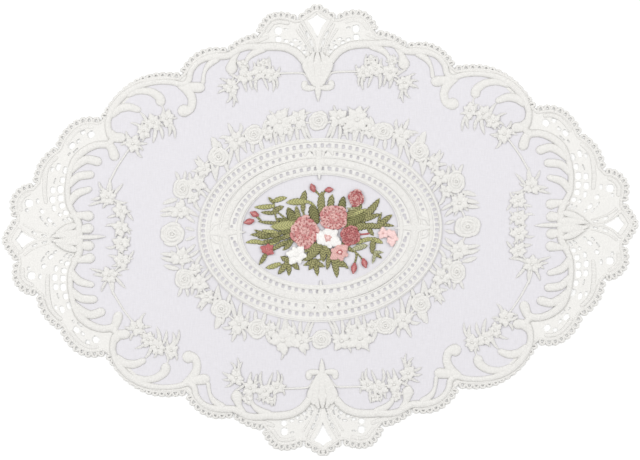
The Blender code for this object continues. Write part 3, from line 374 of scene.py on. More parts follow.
# Leaves and long petals of the wreath, a quarter of them. Columns as in SPRAY_LEAVES.
WREATH_LEAVES = (
    (8.4, 66, 3.4, 56.8, 2.4, 0.3), (10.6, 66, 7.4, 56.2, 2.4, 0.3), (13.4, 65, 12, 56.4, 2.6, 0.2),
    (16, 64, 16.6, 55, 2.4, -0.2), (21.6, 62, 20.6, 54.4, 2.4, 0.2), (24.6, 63, 24.4, 53.4, 2.8, 0.3),
    (28, 62, 28.4, 53, 2.4, 0.2), (34.4, 64, 31.2, 71.2, 3.2, 0.3), (36.6, 57.4, 35.4, 50.4, 3.0, 0.3),
    (41.4, 55.6, 41.6, 48.6, 2.8, 0.2), (46.6, 57.4, 43.8, 49, 2.4, 0.3), (50, 55, 47, 44.6, 2.6, 0.4),
    (52, 54.6, 51, 43.6, 2.6, 0.2), (53.8, 54.6, 54.4, 42.4, 2.8, -0.4), (55.6, 58.4, 62.4, 57.6, 2.6, 0.3),
    (53, 61, 57, 67.2, 2.8, -0.3), (49.6, 61.4, 50.4, 68.8, 2.6, 0.3), (47.6, 60.6, 45, 66.4, 2.2, 0.3),
    (64.4, 52, 67.4, 61, 4.8, 0.5), (61, 53, 61.2, 57.2, 2.6, 0.3), (58.6, 43.4, 57.8, 36.8, 2.8, 0.2),
    (63, 42, 62.4, 33.4, 2.8, 0.2), (66.8, 42.6, 66.4, 31.6, 2.8, 0.3), (71, 42.2, 74.8, 49.2, 2.8, -0.3),
    (73, 41, 78.4, 46, 2.6, -0.3), (74, 38.6, 80.4, 38.8, 2.4, 0.2), (73, 29.4, 69, 24, 2.6, 0.2),
    (75.6, 27.6, 71.4, 20.8, 2.4, 0.2), (80.4, 33, 80.2, 39.2, 2.4, 0.2), (84.4, 34.4, 84.6, 40, 2.4, -0.2),
    (87.6, 34, 90.6, 38.4, 2.4, -0.2), (78, 21, 72.4, 14.8, 2.6, 0.3), (90, 21.6, 98.8, 19.6, 3.4, 0.3),
    (91.4, 16.4, 101, 15, 3.2, 0.3), (91.6, 13, 100.6, 10, 3.0, -0.3), (84, 11.6, 79.4, 5.4, 2.8, 0.2),
    (82.6, 14.4, 76.8, 9.4, 2.6, 0.2), (83.4, 3.6, 78.6, 1.6, 2.4, 0.1),
)

# Leaves of the bouquet. Columns: root x, root y, tip x, tip y, width, bend to the left, shade.
BOUQUET_LEAVES = (
    (-28.6, 18.8, -20.4, 20.8, 3.4, 0.3, "lime"), (-29, 15.8, -40.6, 15.4, 3.2, 0.3, "lime"),
    (-29, 18, -31.8, 21.4, 2.0, 0.1, "olive"), (-28.4, 12.8, -22.4, 15.4, 3.4, 0.2, "olive"),
    (-27.6, 11.4, -36.6, 12.2, 2.6, 0.2, "olive"), (-9.4, 18, -20.8, 17.6, 4.4, -0.3, "lime"),
    (-10.2, 16.6, -8.8, 25, 4.2, 0.3, "olive"), (-10.4, 17, -10.6, 11, 3.0, 0.1, "olive"),
    (-9.6, 18.4, -2.8, 15, 2.0, 0.6, "lime"), (-2.4, 6, -4.6, 16.4, 6.8, 0.4, "dark"),
    (-14.6, 4, -19.8, 14.6, 6.2, 0.5, "dark"),
    (-34, -13.6, -38.4, -20.6, 3.0, 0.3, "olive"), (-18.6, -19, -25, -16, 4.0, 0.2, "olive"),
    (-26, -20.6, -34.4, -22.8, 3.4, 0.3, "lime"), (-21.6, -20.4, -26.6, -26.8, 3.8, 0.3, "olive"),
    (-20, -20, -20, -28, 3.4, 0.2, "olive"), (-17.6, -19, -13.4, -24.6, 3.6, -0.3, "olive"),
    (0.4, -8, -10, -19, 6.2, 0.6, "olive"), (0.8, -8, 1.8, -20, 5.0, 0.4, "olive"),
    (2.4, -9, 7, -17, 4.2, -0.3, "olive"), (-1.8, -9, -10, -13.6, 4.0, -0.3, "olive"),
    (-2.4, -8.4, -4.6, -16.6, 4.0, 0.2, "dark"), (-3, -18.6, -10.6, -21.8, 3.0, 0.2, "olive"),
    (-3.6, -19, -7.4, -24.8, 3.2, 0.2, "olive"), (-3.8, -19.6, -2, -28.6, 3.6, 0.3, "olive"),
    (-3, -20, 2.6, -23, 3.2, -0.2, "olive"), (5.4, -16, 4, -24.8, 3.2, 0.2, "olive"),
    (7.8, -17, 10.2, -30, 4.4, 0.5, "olive"), (8.6, -18.6, 14.4, -23.4, 3.4, -0.3, "olive"),
    (9.4, -18, 17.4, -24.6, 3.0, 0.4, "olive"), (1, 11, 1.6, 24.2, 5.0, 0.3, "olive"),
    (6.8, 13, 8, 22, 4.4, 0.3, "olive"), (13.8, 11, 15.2, 20.6, 5.0, 0.4, "dark"),
    (17, 4.6, 26.4, 15.4, 7.2, 0.7, "olive"), (25, 6.4, 37.4, 18.8, 4.8, -1.2, "olive"),
    (17.4, 3.2, 30.4, 9, 7.0, 0.6, "dark"), (17.4, 0.8, 32.4, 1.8, 5.8, 0.4, "olive"),
    (27.6, 5.4, 37.8, 9, 3.4, 0.3, "olive"), (28, 2, 39.4, 0.6, 3.8, 0.4, "olive"),
    (30, 0.2, 33.4, -4.4, 3.0, 0.2, "olive"), (36.4, 2, 38.6, 10, 2.0, 0.2, "olive"),
    (37.8, 2.4, 45.2, 8.4, 3.6, 0.3, "olive"), (37, 2.4, 46.4, 1.4, 2.4, 0.2, "olive"),
    (18.4, -7.6, 27, -8.4, 3.6, 0.3, "lime"), (21.4, -12.4, 29.8, -10.4, 4.0, 0.3, "pale_green"),
    (25.6, -7.6, 33.6, -6, 3.0, 0.2, "lime"), (31.8, -6.4, 39.2, -9.2, 3.4, 0.3, "lime"),
    (33, -7.4, 32.2, -15.4, 3.8, 0.2, "olive"), (32.8, -15, 39.4, -15, 2.4, 0.2, "pale_green"),
    (33.4, -15.4, 38.4, -18.6, 2.2, 0.2, "olive"), (34.2, -15.4, 32.6, -21.6, 2.2, 0.2, "pale_green"),
    (13.4, -9.6, 20.6, -14.4, 2.4, 0.2, "olive"), (22, 13.6, 17.2, 13.4, 1.8, 0.8, "pale_green"),
    (20, 8, 29.4, 12.4, 3.0, 0.4, "lime"),
    (20, 3.6, 27.6, 5.4, 3.0, 0.3, "dark"), (-12.8, 6, -14.6, 15.4, 3.6, 0.3, "olive"),
    (-26, 5.2, -38.6, 6.4, 2.2, 0.3, "olive"), (-18, -5.6, -25.6, -9.4, 3.2, 0.3, "dark"),
    (-17.6, -6.6, -23.4, -12, 3.0, 0.3, "olive"), (-22.4, -6.8, -31.4, -11.8, 3.0, 0.3, "olive"),
    (-24.4, -4.6, -34.6, -9.6, 2.8, 0.3, "lime"), (-16.6, -1.6, -26.6, -5.2, 3.4, 0.3, "olive"),
    (-23.6, -4.0, -33.6, -6.6, 3.2, 0.3, "dark"), (-30.6, -5.6, -39.8, -7.4, 3.0, 0.4, "olive"),
    (-36.4, -6.8, -46.4, -6.6, 3.0, -0.6, "lime"), (-16.4, 0.8, -26.4, -1.4, 3.4, 0.3, "dark"),
    (-23.4, -0.8, -33.2, -3.4, 3.2, 0.3, "olive"), (-30.2, -2.4, -39.0, -3.8, 3.0, 0.3, "dark"),
    (-35.4, -2.8, -43.4, -1.8, 2.6, -0.4, "olive"), (-27.6, -0.4, -36.4, 1.0, 2.6, 0.4, "lime"),
    (-33.4, -1.4, -41.0, 1.2, 2.2, 0.4, "olive"), (-17.2, 4.2, -30.6, 3.0, 6.6, 0.4, "lime"),
    (-19, 6.4, -27.4, 7.8, 3.0, 0.3, "dark"),
)

# Stems of the bouquet. Columns: x, y, half width.
BOUQUET_STEMS = (
    ((-28.2, 19.6, 0.5), (-28.6, 14, 0.5), (-26.4, 4.6, 0.5)), ((-27, 12.4, 0.5), (-18, 5, 0.7)),
    ((-10.6, 12.6, 0.6), (-8.6, 5, 0.8)), ((1.4, 20, 0.7), (-1, 23, 0.7), (-3.4, 25.4, 0.9)),
    ((1.6, 21, 0.7), (3.4, 24.2, 0.7), (5.4, 25.4, 0.9)),
    ((12, -8, 0.8), (19, -12, 0.7), (22.6, -15.6, 0.7), (21.4, -21.6, 0.6)),
    ((21, -13.6, 0.6), (24.4, -16.6, 0.5), (26.6, -19.6, 0.6)), ((-26, -10.2, 0.6), (-34.4, -14, 0.6)),
    ((-7.4, -16.4, 0.6), (-13, -19, 0.6), (-20, -20.4, 0.6), (-28, -21.8, 0.6)),
    ((1.6, -18, 0.7), (-4.6, -19.8, 0.6)), ((5.6, -15, 0.7), (9, -19.6, 0.7)),
    ((-37, 7, 0.6), (-39.6, 9.6, 0.8)), ((19, -6, 0.7), (33, -7, 0.6)),
)

# The reddish stem of the bells. Columns as above.
RED_STEM = ((22, -3, 0.6), (26, -3.4, 0.6), (30.5, -3, 0.6))

# Blooms of the bouquet, each named as its solid. A bud has the way it points instead of sizes.
# Columns: kind, x, y, half length, half height, threads from the outside in.
BLOOMS = {
    "rose_left": ("rose", -9.6, -1.0, 8.6, 10.0, "pale_pink", "pink", "rose_red"),
    "rose_upper": ("rose", 8.6, 7.6, 8.8, 7.8, "pale_pink", "pink", "rose_red"),
    "rose_right": ("rose", 18.9, -4.0, 6.0, 6.2, "pink", "rose_red", "deep_red"),
    "flower_white": ("flower", 4.8, -5.0, 7.0, 5.8, "cream", "pale_pink", "blush"),
    "flower_pink": ("flower", 12.2, -14.2, 5.2, 4.9, "pale_pink", "rose_red", "blush"),
    "flower_pale": ("flower", -14.8, -15.2, 5.0, 5.1, "cream", "cream", "cream"),
    "flower_red": ("flower", -33.0, -11.4, 3.5, 3.3, "rose_red", "pink", "rose_red"),
    "rosebud": ("rose", 22.8, 19.4, 4.8, 5.4, "pale_pink", "rose_red", "rose_red"),
    "bud_top": ("bud", -4.2, 26.6, -0.9, 2.3, "rose_red", "pink", "pink"),
    "bud_top_right": ("bud", 6.2, 25.0, 2.2, 0.2, "rose_red", "pink", "pale_pink"),
    "bud_left": ("bud", -41.0, 11.2, -2.4, 1.0, "rose_red", "pink", "rose_red"),
    "bud_far_left": ("bud", -44.4, 6.4, -3.0, -0.6, "rose_red", "pink", "rose_red"),
    "bud_low": ("bud", 20.9, -24.6, -0.5, -3.2, "rose_red", "pink", "rose_red"),
    "bud_low_right": ("bud", 27.6, -21.6, 0.9, -2.8, "rose_red", "pink", "rose_red"),
    "bell_inner": ("bell", 39.4, -3.0, 2.7, 2.9, "blush", "pale_pink", "blush"),
    "bell_outer": ("bell", 45.0, -6.0, 2.6, 4.6, "blush", "blush", "blush"),
}
BUD_WIDTH = 1.9
BLOOM_SPREAD = 1.05

# Threads. Columns: red, green, blue, stitch pitch in millimetres, slant, depth of the stripes,
# how uneven the stripes run, depth of the speckles, how much painted shade darkens the sides.
THREADS = {
    "white": (0.77, 0.758, 0.732, 0.9, 0.0, 0.03, 1.6, 0.06, 0.14),
    "cream": (0.88, 0.865, 0.84, 0.9, 0.0, 0.05, 1.6, 0.07, 0.20),
    "olive": (0.37, 0.355, 0.16, 1.75, 1.0, 0.32, 0.6, 0.14, 0.42),
    "dark": (0.26, 0.255, 0.105, 1.75, 1.0, 0.32, 0.6, 0.14, 0.42),
    "lime": (0.51, 0.50, 0.22, 1.75, 1.0, 0.28, 0.6, 0.14, 0.42),
    "pale_green": (0.50, 0.50, 0.31, 1.75, 1.0, 0.24, 0.6, 0.12, 0.28),
    "blush": (0.90, 0.65, 0.63, 1.2, 0.0, 0.06, 1.6, 0.10, 0.18),
    "pale_pink": (0.76, 0.46, 0.43, 1.2, 0.0, 0.10, 1.6, 0.17, 0.28),
    "pink": (0.64, 0.28, 0.27, 1.2, 0.0, 0.12, 1.6, 0.20, 0.32),
    "rose_red": (0.52, 0.16, 0.16, 1.2, 0.0, 0.12, 1.6, 0.20, 0.32),
    "deep_red": (0.40, 0.11, 0.11, 1.2, 0.0, 0.12, 1.6, 0.20, 0.32),
}

# A slot name for each bloom.
SLOTS = {
    "rose_left": "pink", "rose_upper": "pink", "rose_right": "rose_red", "flower_white": "white",
    "flower_pink": "pink", "flower_pale": "white", "flower_red": "rose_red", "rosebud": "rose_red",
    "bud_top": "pink", "bud_top_right": "pink", "bud_left": "rose_red", "bud_far_left": "rose_red",
    "bud_low": "rose_red", "bud_low_right": "rose_red", "bell_inner": "pale_pink",
    "bell_outer": "pale_pink",
}


def uneven(x, y):
    """Move points of the even drawing to where the laid cloth has them."""
    narrow = 1 + LOWER_NARROW * np.tanh(y / 40)
    return x * narrow + SHEAR * y, y + TILT * x - LEFT_DROP * (x / 200) ** 2


def laid(points):
    """Points of the even drawing on the laid cloth, in metres."""
    flat = np.array(points, float)
    flat[:, 0], flat[:, 1] = uneven(flat[:, 0], flat[:, 1])
    return flat * MM


def smooth(rows, step):
    """Points about a step apart on the smooth curve through the rows, with all their columns."""
    points = [rows[0]]
    for i in range(len(rows) - 1):
        before = rows[max(i - 1, 0)]
        start = rows[i]
        end = rows[i + 1]
        after = rows[min(i + 2, len(rows) - 1)]
        count = max(1, round(math.dist(start[:2], end[:2]) / step))
        for k in range(1, count + 1):
            t = k / count
            points.append(tuple(
                b + 0.5 * t * (c - a + t * (2 * a - 5 * b + 4 * c - d + t * (3 * b - a - 3 * c + d)))
                for a, b, c, d in zip(before, start, end, after)))
    return points


def four_ways(points):
    """A line and its three mirror images."""
    return [[(sx * p[0], sy * p[1], *p[2:]) for p in points] for sx in (1, -1) for sy in (1, -1)]


def closed_round(quarter):
    """The whole loop from a quarter that runs from the top to the right end."""
    lower = [(p[0], -p[1], *p[2:]) for p in reversed(quarter[:-1])]
    right = quarter + lower
    left = [(-p[0], p[1], *p[2:]) for p in reversed(right[1:-1])]
    return right + left


def oval(half_axes, count, width=None):
    """Points round an oval, with a half width if one is given."""
    extra = () if width is None else (width,)
    turns = [2 * math.pi * (k + 0.5) / count for k in range(count)]
    return [(half_axes[0] * math.cos(a), half_axes[1] * math.sin(a), *extra) for a in turns]


class Stitches:
    """Domed strokes of thread, gathered into one mesh."""

    def __init__(self):
        self.verts = []
        self.faces = []
        self.threads = []
        self.places = []

    def stroke(self, line, base, rise, thread=0, closed=False, section=SATIN):
        """A stroke along a line of x, y and half width; an open one is rounded off at its ends."""
        rows = np.array(line, float)
        if closed:
            rows = np.vstack([rows, rows[:1]])
            runs = np.roll(rows[:-1, :2], -1, 0) - np.roll(rows[:-1, :2], 1, 0)
            runs = np.vstack([runs, runs[:1]])
        else:
            rows = np.vstack([cap(rows[0], rows[1])[::-1], rows, cap(rows[-1], rows[-2])])
            runs = np.gradient(rows[:, :2], axis=0)
        runs /= np.linalg.norm(runs, axis=1, keepdims=True) + 1e-12
        across = np.column_stack([-runs[:, 1], runs[:, 0]])
        steps = np.linalg.norm(np.diff(rows[:, :2], axis=0), axis=1)
        lengths = np.concatenate([[0], np.cumsum(steps)])
        lift = rise * np.sqrt(rows[:, 2] / rows[:, 2].max())
        first = len(self.verts)
        for row, side, length, high in zip(rows, across, lengths, lift):
            for share, level in section:
                x, y = row[:2] + side * row[2] * share
                self.verts.append((x, y, base + high * level))
                self.places.append((length, row[2] * share, share))
        wide = len(section)
        for k in range(len(rows) - 1):
            near = first + k * wide
            far = near + wide
            for i in range(wide - 1):
                self.faces.append((near + i + 1, near + i, far + i, far + i + 1))
            self.faces.append((near, near + wide - 1, far + wide - 1, far))
        made = (len(rows) - 1) * wide
        if not closed:
            last = first + (len(rows) - 1) * wide
            self.faces.append(tuple(range(first, first + wide)))
            self.faces.append(tuple(range(last + wide - 1, last - 1, -1)))
            made += 2
        self.threads += [thread] * made

    def knot(self, x, y, radius, base, rise, thread=0):
        """A small round dome."""
        self.stroke([(x - 0.05, y, radius), (x + 0.05, y, radius)], base, rise, thread)

    def leaf(self, row, base, rise, thread=0):
        """A pointed leaf with a vein down its middle, from its root to its tip."""
        x0, y0, x1, y1, width, bend = row[:6]
        run_x, run_y = x1 - x0, y1 - y0
        length = math.hypot(run_x, run_y)
        line = []
        count = max(5, round(length / LEAF_STEP))
        for k in range(count + 1):
            t = k / count
            side = bend * math.sin(math.pi * t) / length
            share = max(0, math.sin(math.pi * (LEAF_START + (1 - LEAF_START) * t) ** LEAF_SKEW)) ** LEAF_BLUNT
            toothed = 1 + LEAF_TEETH * (-1) ** k
            line.append((x0 + run_x * t - run_y * side, y0 + run_y * t + run_x * side,
                         max(LEAF_LEAST, width / 2 * share * toothed)))
        self.stroke(line, base, rise, thread, section=VEINED)

    def flower(self, x, y, radii, petals, base, rise, threads=(0, 0), turn=0.0, full=PETAL_FULL):
        """A small flower: separate petals round a knot."""
        half = math.sin(math.pi / petals) * full
        for k in range(petals):
            angle = turn + 2 * math.pi * k / petals + PETAL_SWING * math.sin(3.1 * k + 7 * turn)
            long = 1 + PETAL_UNEVEN * math.sin(2.4 * k + 5 * turn)
            line = []
            for reach, share in PETAL:
                away = reach * long
                place = (x + away * radii[0] * math.cos(angle), y + away * radii[1] * math.sin(angle))
                line.append((*place, half * share * (radii[0] + radii[1]) / 2))
            self.stroke(smooth(line, PETAL_STEP), base + PETAL_LAP * (k % 2), rise, threads[0])
        self.knot(x, y, KNOT * min(radii), base + KNOT_LIFT, rise, threads[1])

    def disc(self, x, y, radii, base, rise, thread=0):
        """A low oval dome."""
        wide = min(radii)
        reach_x, reach_y = radii[0] - wide + 0.05, radii[1] - wide
        ends = [(x - reach_x, y - reach_y, wide), (x + reach_x, y + reach_y, wide)]
        self.stroke(ends, base, rise, thread)

    def rose(self, x, y, radii, base, rise, threads=(0,), turn=0.0, rings=ROSE_RINGS):
        """A rose: rings of overlapping crescents that rise to a small heart."""
        self.disc(x, y, [0.86 * r for r in radii], base, rise * ROSE_BED, threads[-1])
        for ring, (share, width, count, lift) in enumerate(rings):
            for k in range(count):
                middle = turn + ring * ROSE_TURN + 2 * math.pi * k / count
                reach = math.pi / count * ROSE_LAP
                wave = 1 + ROSE_UNEVEN * math.sin(4.3 * k + 2.1 * ring + turn)
                line = []
                for t in np.linspace(-1, 1, ROSE_STEPS):
                    angle = middle + t * reach
                    out = share * wave - ROSE_SPIRAL * t
                    line.append((x + out * radii[0] * math.cos(angle), y + out * radii[1] * math.sin(angle),
                                 width * min(radii) * (1 - ROSE_TAPER * t * t)))
                self.stroke(line, base + lift, rise, threads[(ring + k * k) % len(threads)])
        self.knot(x, y, ROSE_HEART * min(radii), base + ROSE_HEART_LIFT, rise, threads[0])

    def dashes(self, x, y, radii, base, rise, thread):
        """Short strokes that point outwards, strewn over an oval."""
        for k in range(DASHES):
            start = DASH_REACH * math.sqrt((k + 0.5) / DASHES)
            angle = GOLDEN_TURN * k
            line = []
            for away in (start, start + DASH_LENGTH):
                line.append((x + away * radii[0] * math.cos(angle), y + away * radii[1] * math.sin(angle),
                             DASH_WIDTH))
            self.stroke(line, base, rise, thread)

    def build(self, name, materials):
        """The mesh object of all the strokes."""
        mesh = bpy.data.meshes.new(name)
        mesh.from_pydata(laid(self.verts).tolist(), [], self.faces)
        for made in materials:
            mesh.materials.append(made)
        mesh.polygons.foreach_set("material_index", self.threads)
        mesh.polygons.foreach_set("use_smooth", [True] * len(self.faces))
        places = np.array(self.places, np.float32)
        stitch = mesh.attributes.new("stitch", "FLOAT_VECTOR", "POINT")
        stitch.data.foreach_set("vector", places.ravel())
        mesh.update()
        made = bpy.data.objects.new(name, mesh)
        bpy.context.scene.collection.objects.link(made)
        return made


def cap(end, inner):
    """Stations that round off a stroke beyond its end."""
    ahead = end[:2] - inner[:2]
    ahead /= np.linalg.norm(ahead) + 1e-12
    stations = []
    for degrees in CAP_TURNS:
        turn = math.radians(degrees)
        place = end[:2] + ahead * end[2] * math.sin(turn)
        stations.append((*place, end[2] * math.cos(turn)))
    return np.array(stations)


def pierced_sheet(name, outline, gaps, bottom, top, made, inner=()):
    """A flat sheet inside an outline with gaps cut through it, and loose points inside it."""
    points = []
    faces = []
    for polygon in [outline] + gaps:
        polygon = polygon if turns_left(polygon) else polygon[::-1]
        faces.append(list(range(len(points), len(points) + len(polygon))))
        points += [Vector(p[:2]) for p in polygon]
    points += [Vector(p) for p in inner]
    verts, _, tris, _, _, covers = delaunay_2d_cdt(points, [], faces, 0, MERGE)
    kept = [tuple(tri) for tri, cover in zip(tris, covers) if list(cover) == [0]]
    used = sorted({i for tri in kept for i in tri})
    number = {i: n for n, i in enumerate(used)}
    count = len(used)
    places = [(verts[i].x, verts[i].y, top + ripple(verts[i].x, verts[i].y)) for i in used]
    places += [(x, y, z - top + bottom) for x, y, z in places]
    tris = [tuple(number[i] for i in tri) for tri in kept]
    sides = {side for a, b, c in tris for side in ((a, b), (b, c), (c, a))}
    faces = tris + [tuple(i + count for i in reversed(tri)) for tri in tris]
    faces += [(b, a, a + count, b + count) for a, b in sides if (b, a) not in sides]
    mesh = bpy.data.meshes.new(name)
    mesh.from_pydata(laid(places).tolist(), [], faces)
    mesh.materials.append(made)
    mesh.update()
    sheet = bpy.data.objects.new(name, mesh)
    bpy.context.scene.collection.objects.link(sheet)
    return sheet


def turns_left(polygon):
    """Whether a polygon runs counterclockwise."""
    return sum(a[0] * b[1] - b[0] * a[1] for a, b in zip(polygon, polygon[1:] + polygon[:1])) > 0


def ripple(x, y):
    """How far the thin cloth lifts from flat at a place."""
    return RIPPLE * math.sin(x / 17 + 1.3 * math.sin(y / 23)) * math.sin(y / 19 + 0.7)


def squared(share):
    """Pushes a share of an oval's half axis out towards a square's."""
    return math.copysign(abs(share) ** HOLE_SQUARE, share)


def hole(row):
    """The rim of a small hole between an oval and a square."""
    x, y, half_length, half_width, turn = row
    turned = Matrix.Rotation(math.radians(turn), 2)
    rim = []
    for k in range(HOLE_CORNERS):
        a = 2 * math.pi * k / HOLE_CORNERS
        place = turned @ Vector((half_length * squared(math.cos(a)), half_width * squared(math.sin(a))))
        rim.append((x + place.x, y + place.y))
    return rim


def four_holes(row):
    """A hole and its three mirror images."""
    x, y, half_length, half_width, turn = row
    return [hole((sx * x, sy * y, half_length, half_width, sx * sy * turn))
            for sx in (1, -1) for sy in (1, -1)]


def thread(name):
    """A satin stitched thread: fine lines across the stroke, with painted shade down its sides."""
    red, green, blue, pitch, slant, stripes, wander, speckle, edge = THREADS[name]
    made = bpy.data.materials.new(name + "_thread")
    made.use_nodes = True
    nodes = made.node_tree.nodes
    links = made.node_tree.links
    shader = nodes["Principled BSDF"]
    shader.inputs["Roughness"].default_value = 0.6
    shader.inputs["Specular IOR Level"].default_value = 0.25
    stitch = nodes.new("ShaderNodeAttribute")
    stitch.attribute_name = "stitch"
    split = nodes.new("ShaderNodeSeparateXYZ")
    links.new(stitch.outputs["Vector"], split.inputs[0])
    away = maths(made, "ABSOLUTE", split.outputs["Y"])
    slanted = maths(made, "MULTIPLY_ADD", away, slant, split.outputs["X"])
    noise = nodes.new("ShaderNodeTexNoise")
    noise.inputs["Scale"].default_value = JITTER_SCALE
    position = nodes.new("ShaderNodeNewGeometry")
    links.new(position.outputs["Position"], noise.inputs["Vector"])
    jitter = maths(made, "MULTIPLY_ADD", noise.outputs[0], pitch * wander, slanted)
    wave = maths(made, "SINE", maths(made, "MULTIPLY", jitter, 2 * math.pi / pitch))
    # Painted shade: the colour darkens towards both sides of each stroke, where the raised thread turns away
    # from the light.
    side = maths(made, "POWER", maths(made, "ABSOLUTE", split.outputs["Z"]), 5.0)
    blotch = nodes.new("ShaderNodeTexNoise")
    blotch.inputs["Scale"].default_value = SPECKLE_SCALE
    links.new(position.outputs["Position"], blotch.inputs["Vector"])
    # The tone takes off the painted side shade, then adds the stitch stripes and speckles.
    shade = maths(made, "MULTIPLY_ADD", side, -edge, 1.0 - stripes - speckle)
    shade = maths(made, "MULTIPLY_ADD", wave, stripes, shade)
    shade = maths(made, "MULTIPLY_ADD", blotch.outputs[0], speckle * 2, shade)
    tint = nodes.new("ShaderNodeMix")
    tint.data_type = "RGBA"
    tint.inputs[6].default_value = (0, 0, 0, 1)
    tint.inputs[7].default_value = (red, green, blue, 1)
    links.new(shade, tint.inputs[0])
    links.new(tint.outputs[2], shader.inputs["Base Color"])
    bump = nodes.new("ShaderNodeBump")
    bump.inputs["Strength"].default_value = 0.5
    bump.inputs["Distance"].default_value = BUMP_DEPTH
    links.new(wave, bump.inputs["Height"])
    links.new(bump.outputs[0], shader.inputs["Normal"])
    return made


def maths(made, operation, *values):
    """The output of a math node fed with sockets or numbers."""
    node = made.node_tree.nodes.new("ShaderNodeMath")
    node.operation = operation
    for socket, value in zip(node.inputs, values):
        if isinstance(value, bpy.types.NodeSocket):
            made.node_tree.links.new(value, socket)
        else:
            socket.default_value = value
    return node.outputs[0]


def net_ground():
    """The dense net under the lace: small dimples all over, with painted shade in their middles."""
    made = bpy.data.materials.new("net_ground")
    made.use_nodes = True
    nodes = made.node_tree.nodes
    links = made.node_tree.links
    shader = nodes["Principled BSDF"]
    shader.inputs["Roughness"].default_value = 0.8
    shader.inputs["Specular IOR Level"].default_value = 0.15
    position = nodes.new("ShaderNodeNewGeometry")
    cells = nodes.new("ShaderNodeTexVoronoi")
    cells.inputs["Scale"].default_value = NET_CELLS
    links.new(position.outputs["Position"], cells.inputs["Vector"])
    # Dimple depth drives both the bump and the painted shade that darkens the dimples' middles.
    depth = maths(made, "MULTIPLY", cells.outputs["Distance"], 1.4)
    tint = nodes.new("ShaderNodeMix")
    tint.data_type = "RGBA"
    tint.inputs[6].default_value = (*NET_DIMPLE_SHADE, 1)
    tint.inputs[7].default_value = (*NET_COLOUR, 1)
    links.new(depth, tint.inputs[0])
    links.new(tint.outputs[2], shader.inputs["Base Color"])
    bump = nodes.new("ShaderNodeBump")
    bump.inputs["Strength"].default_value = 0.35
    bump.inputs["Distance"].default_value = BUMP_DEPTH
    links.new(depth, bump.inputs["Height"])
    links.new(bump.outputs[0], shader.inputs["Normal"])
    return made


def organza():
    """Sheer crossways cloth: a fine weave with slubs, slightly see-through."""
    made = bpy.data.materials.new("organza_cloth")
    made.use_nodes = True
    nodes = made.node_tree.nodes
    links = made.node_tree.links
    shader = nodes["Principled BSDF"]
    shader.inputs["Roughness"].default_value = 0.55
    shader.inputs["Specular IOR Level"].default_value = 0.2
    position = nodes.new("ShaderNodeNewGeometry")
    rows = weave(made, position, (260, 2600, 1))
    columns = weave(made, position, (1500, 200, 1))
    both = maths(made, "ADD", rows, columns)
    tint = nodes.new("ShaderNodeMix")
    tint.data_type = "RGBA"
    tint.inputs[6].default_value = (*ORGANZA_DARK, 1)
    tint.inputs[7].default_value = (*ORGANZA_LIGHT, 1)
    links.new(maths(made, "MULTIPLY", both, 0.5), tint.inputs[0])
    links.new(tint.outputs[2], shader.inputs["Base Color"])
    bump = nodes.new("ShaderNodeBump")
    bump.inputs["Strength"].default_value = 0.35
    bump.inputs["Distance"].default_value = BUMP_DEPTH
    links.new(both, bump.inputs["Height"])
    links.new(bump.outputs[0], shader.inputs["Normal"])
    clear = nodes.new("ShaderNodeBsdfTransparent")
    mixed = nodes.new("ShaderNodeMixShader")
    mixed.inputs[0].default_value = ORGANZA_COVER
    links.new(clear.outputs[0], mixed.inputs[1])
    links.new(shader.outputs[0], mixed.inputs[2])
    links.new(mixed.outputs[0], nodes["Material Output"].inputs["Surface"])
    return made


def weave(made, position, scale):
    """Streaks of noise along one way of the cloth."""
    nodes = made.node_tree.nodes
    mapping = nodes.new("ShaderNodeMapping")
    mapping.inputs["Scale"].default_value = scale
    noise = nodes.new("ShaderNodeTexNoise")
    noise.inputs["Scale"].default_value = 1
    made.node_tree.links.new(position.outputs["Position"], mapping.inputs["Vector"])
    made.node_tree.links.new(mapping.outputs[0], noise.inputs["Vector"])
    return noise.outputs[0]


def lobe_line(lobe):
    """A lobe of the edge as close points with the way out at each, and its length so far."""
    points = np.array(smooth(lobe, 0.5))
    runs = np.gradient(points, axis=0)
    runs /= np.linalg.norm(runs, axis=1, keepdims=True)
    outs = np.column_stack([-runs[:, 1], runs[:, 0]])
    lengths = np.concatenate([[0], np.cumsum(np.linalg.norm(np.diff(points, axis=0), axis=1))])
    return points, outs, lengths


def edge_cord(depth):
    """A loop that follows the edge at a depth below the tips of the picots."""
    quarter = []
    for lobe in EDGE_LOBES:
        points, outs, _ = lobe_line(lobe)
        inner = points - outs * depth
        quarter += [tuple(p) for p in inner[::2] if p[0] > 0.3 and p[1] > 0.3]
    quarter = [(0.0, quarter[0][1])] + quarter + [(quarter[-1][0], 0.0)]
    return closed_round(quarter)


def lobe_bands():
    """The flat bands that follow the longer lobes, a quarter of them."""
    bands = []
    for lobe in EDGE_LOBES:
        points, outs, lengths = lobe_line(lobe)
        if lengths[-1] > BAND_LEAST:
            for depth, width, trim in LOBE_BANDS:
                inner = points - outs * depth
                first, last = round(trim * len(inner)), round((1 - trim) * len(inner))
                bands.append([(x, y, width) for x, y in inner[first:last:3]])
    return bands


def picots():
    """The small arches along a quarter of the edge."""
    arches = []
    for lobe in EDGE_LOBES:
        points, outs, lengths = lobe_line(lobe)
        count = max(2, round(lengths[-1] / PICOT_PITCH))
        pitch = lengths[-1] / count
        for k in range(count):
            arch = []
            for turn in np.linspace(0, math.pi, PICOT_STEPS):
                place = pitch * (k + 0.5 - PICOT_SPREAD * math.cos(turn))
                depth = PICOT_FOOT - (PICOT_FOOT - PICOT_HEAD) * math.sin(turn)
                at = [np.interp(place, lengths, column) for column in points.T]
                out = [np.interp(place, lengths, column) for column in outs.T]
                arch.append((at[0] - out[0] * depth, at[1] - out[1] * depth, PICOT_WIDTH))
            arches.append(arch)
    return arches


def dress(piece, *nodes, slot="white"):
    """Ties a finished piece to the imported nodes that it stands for."""
    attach(piece, "root")
    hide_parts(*nodes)
    return piece


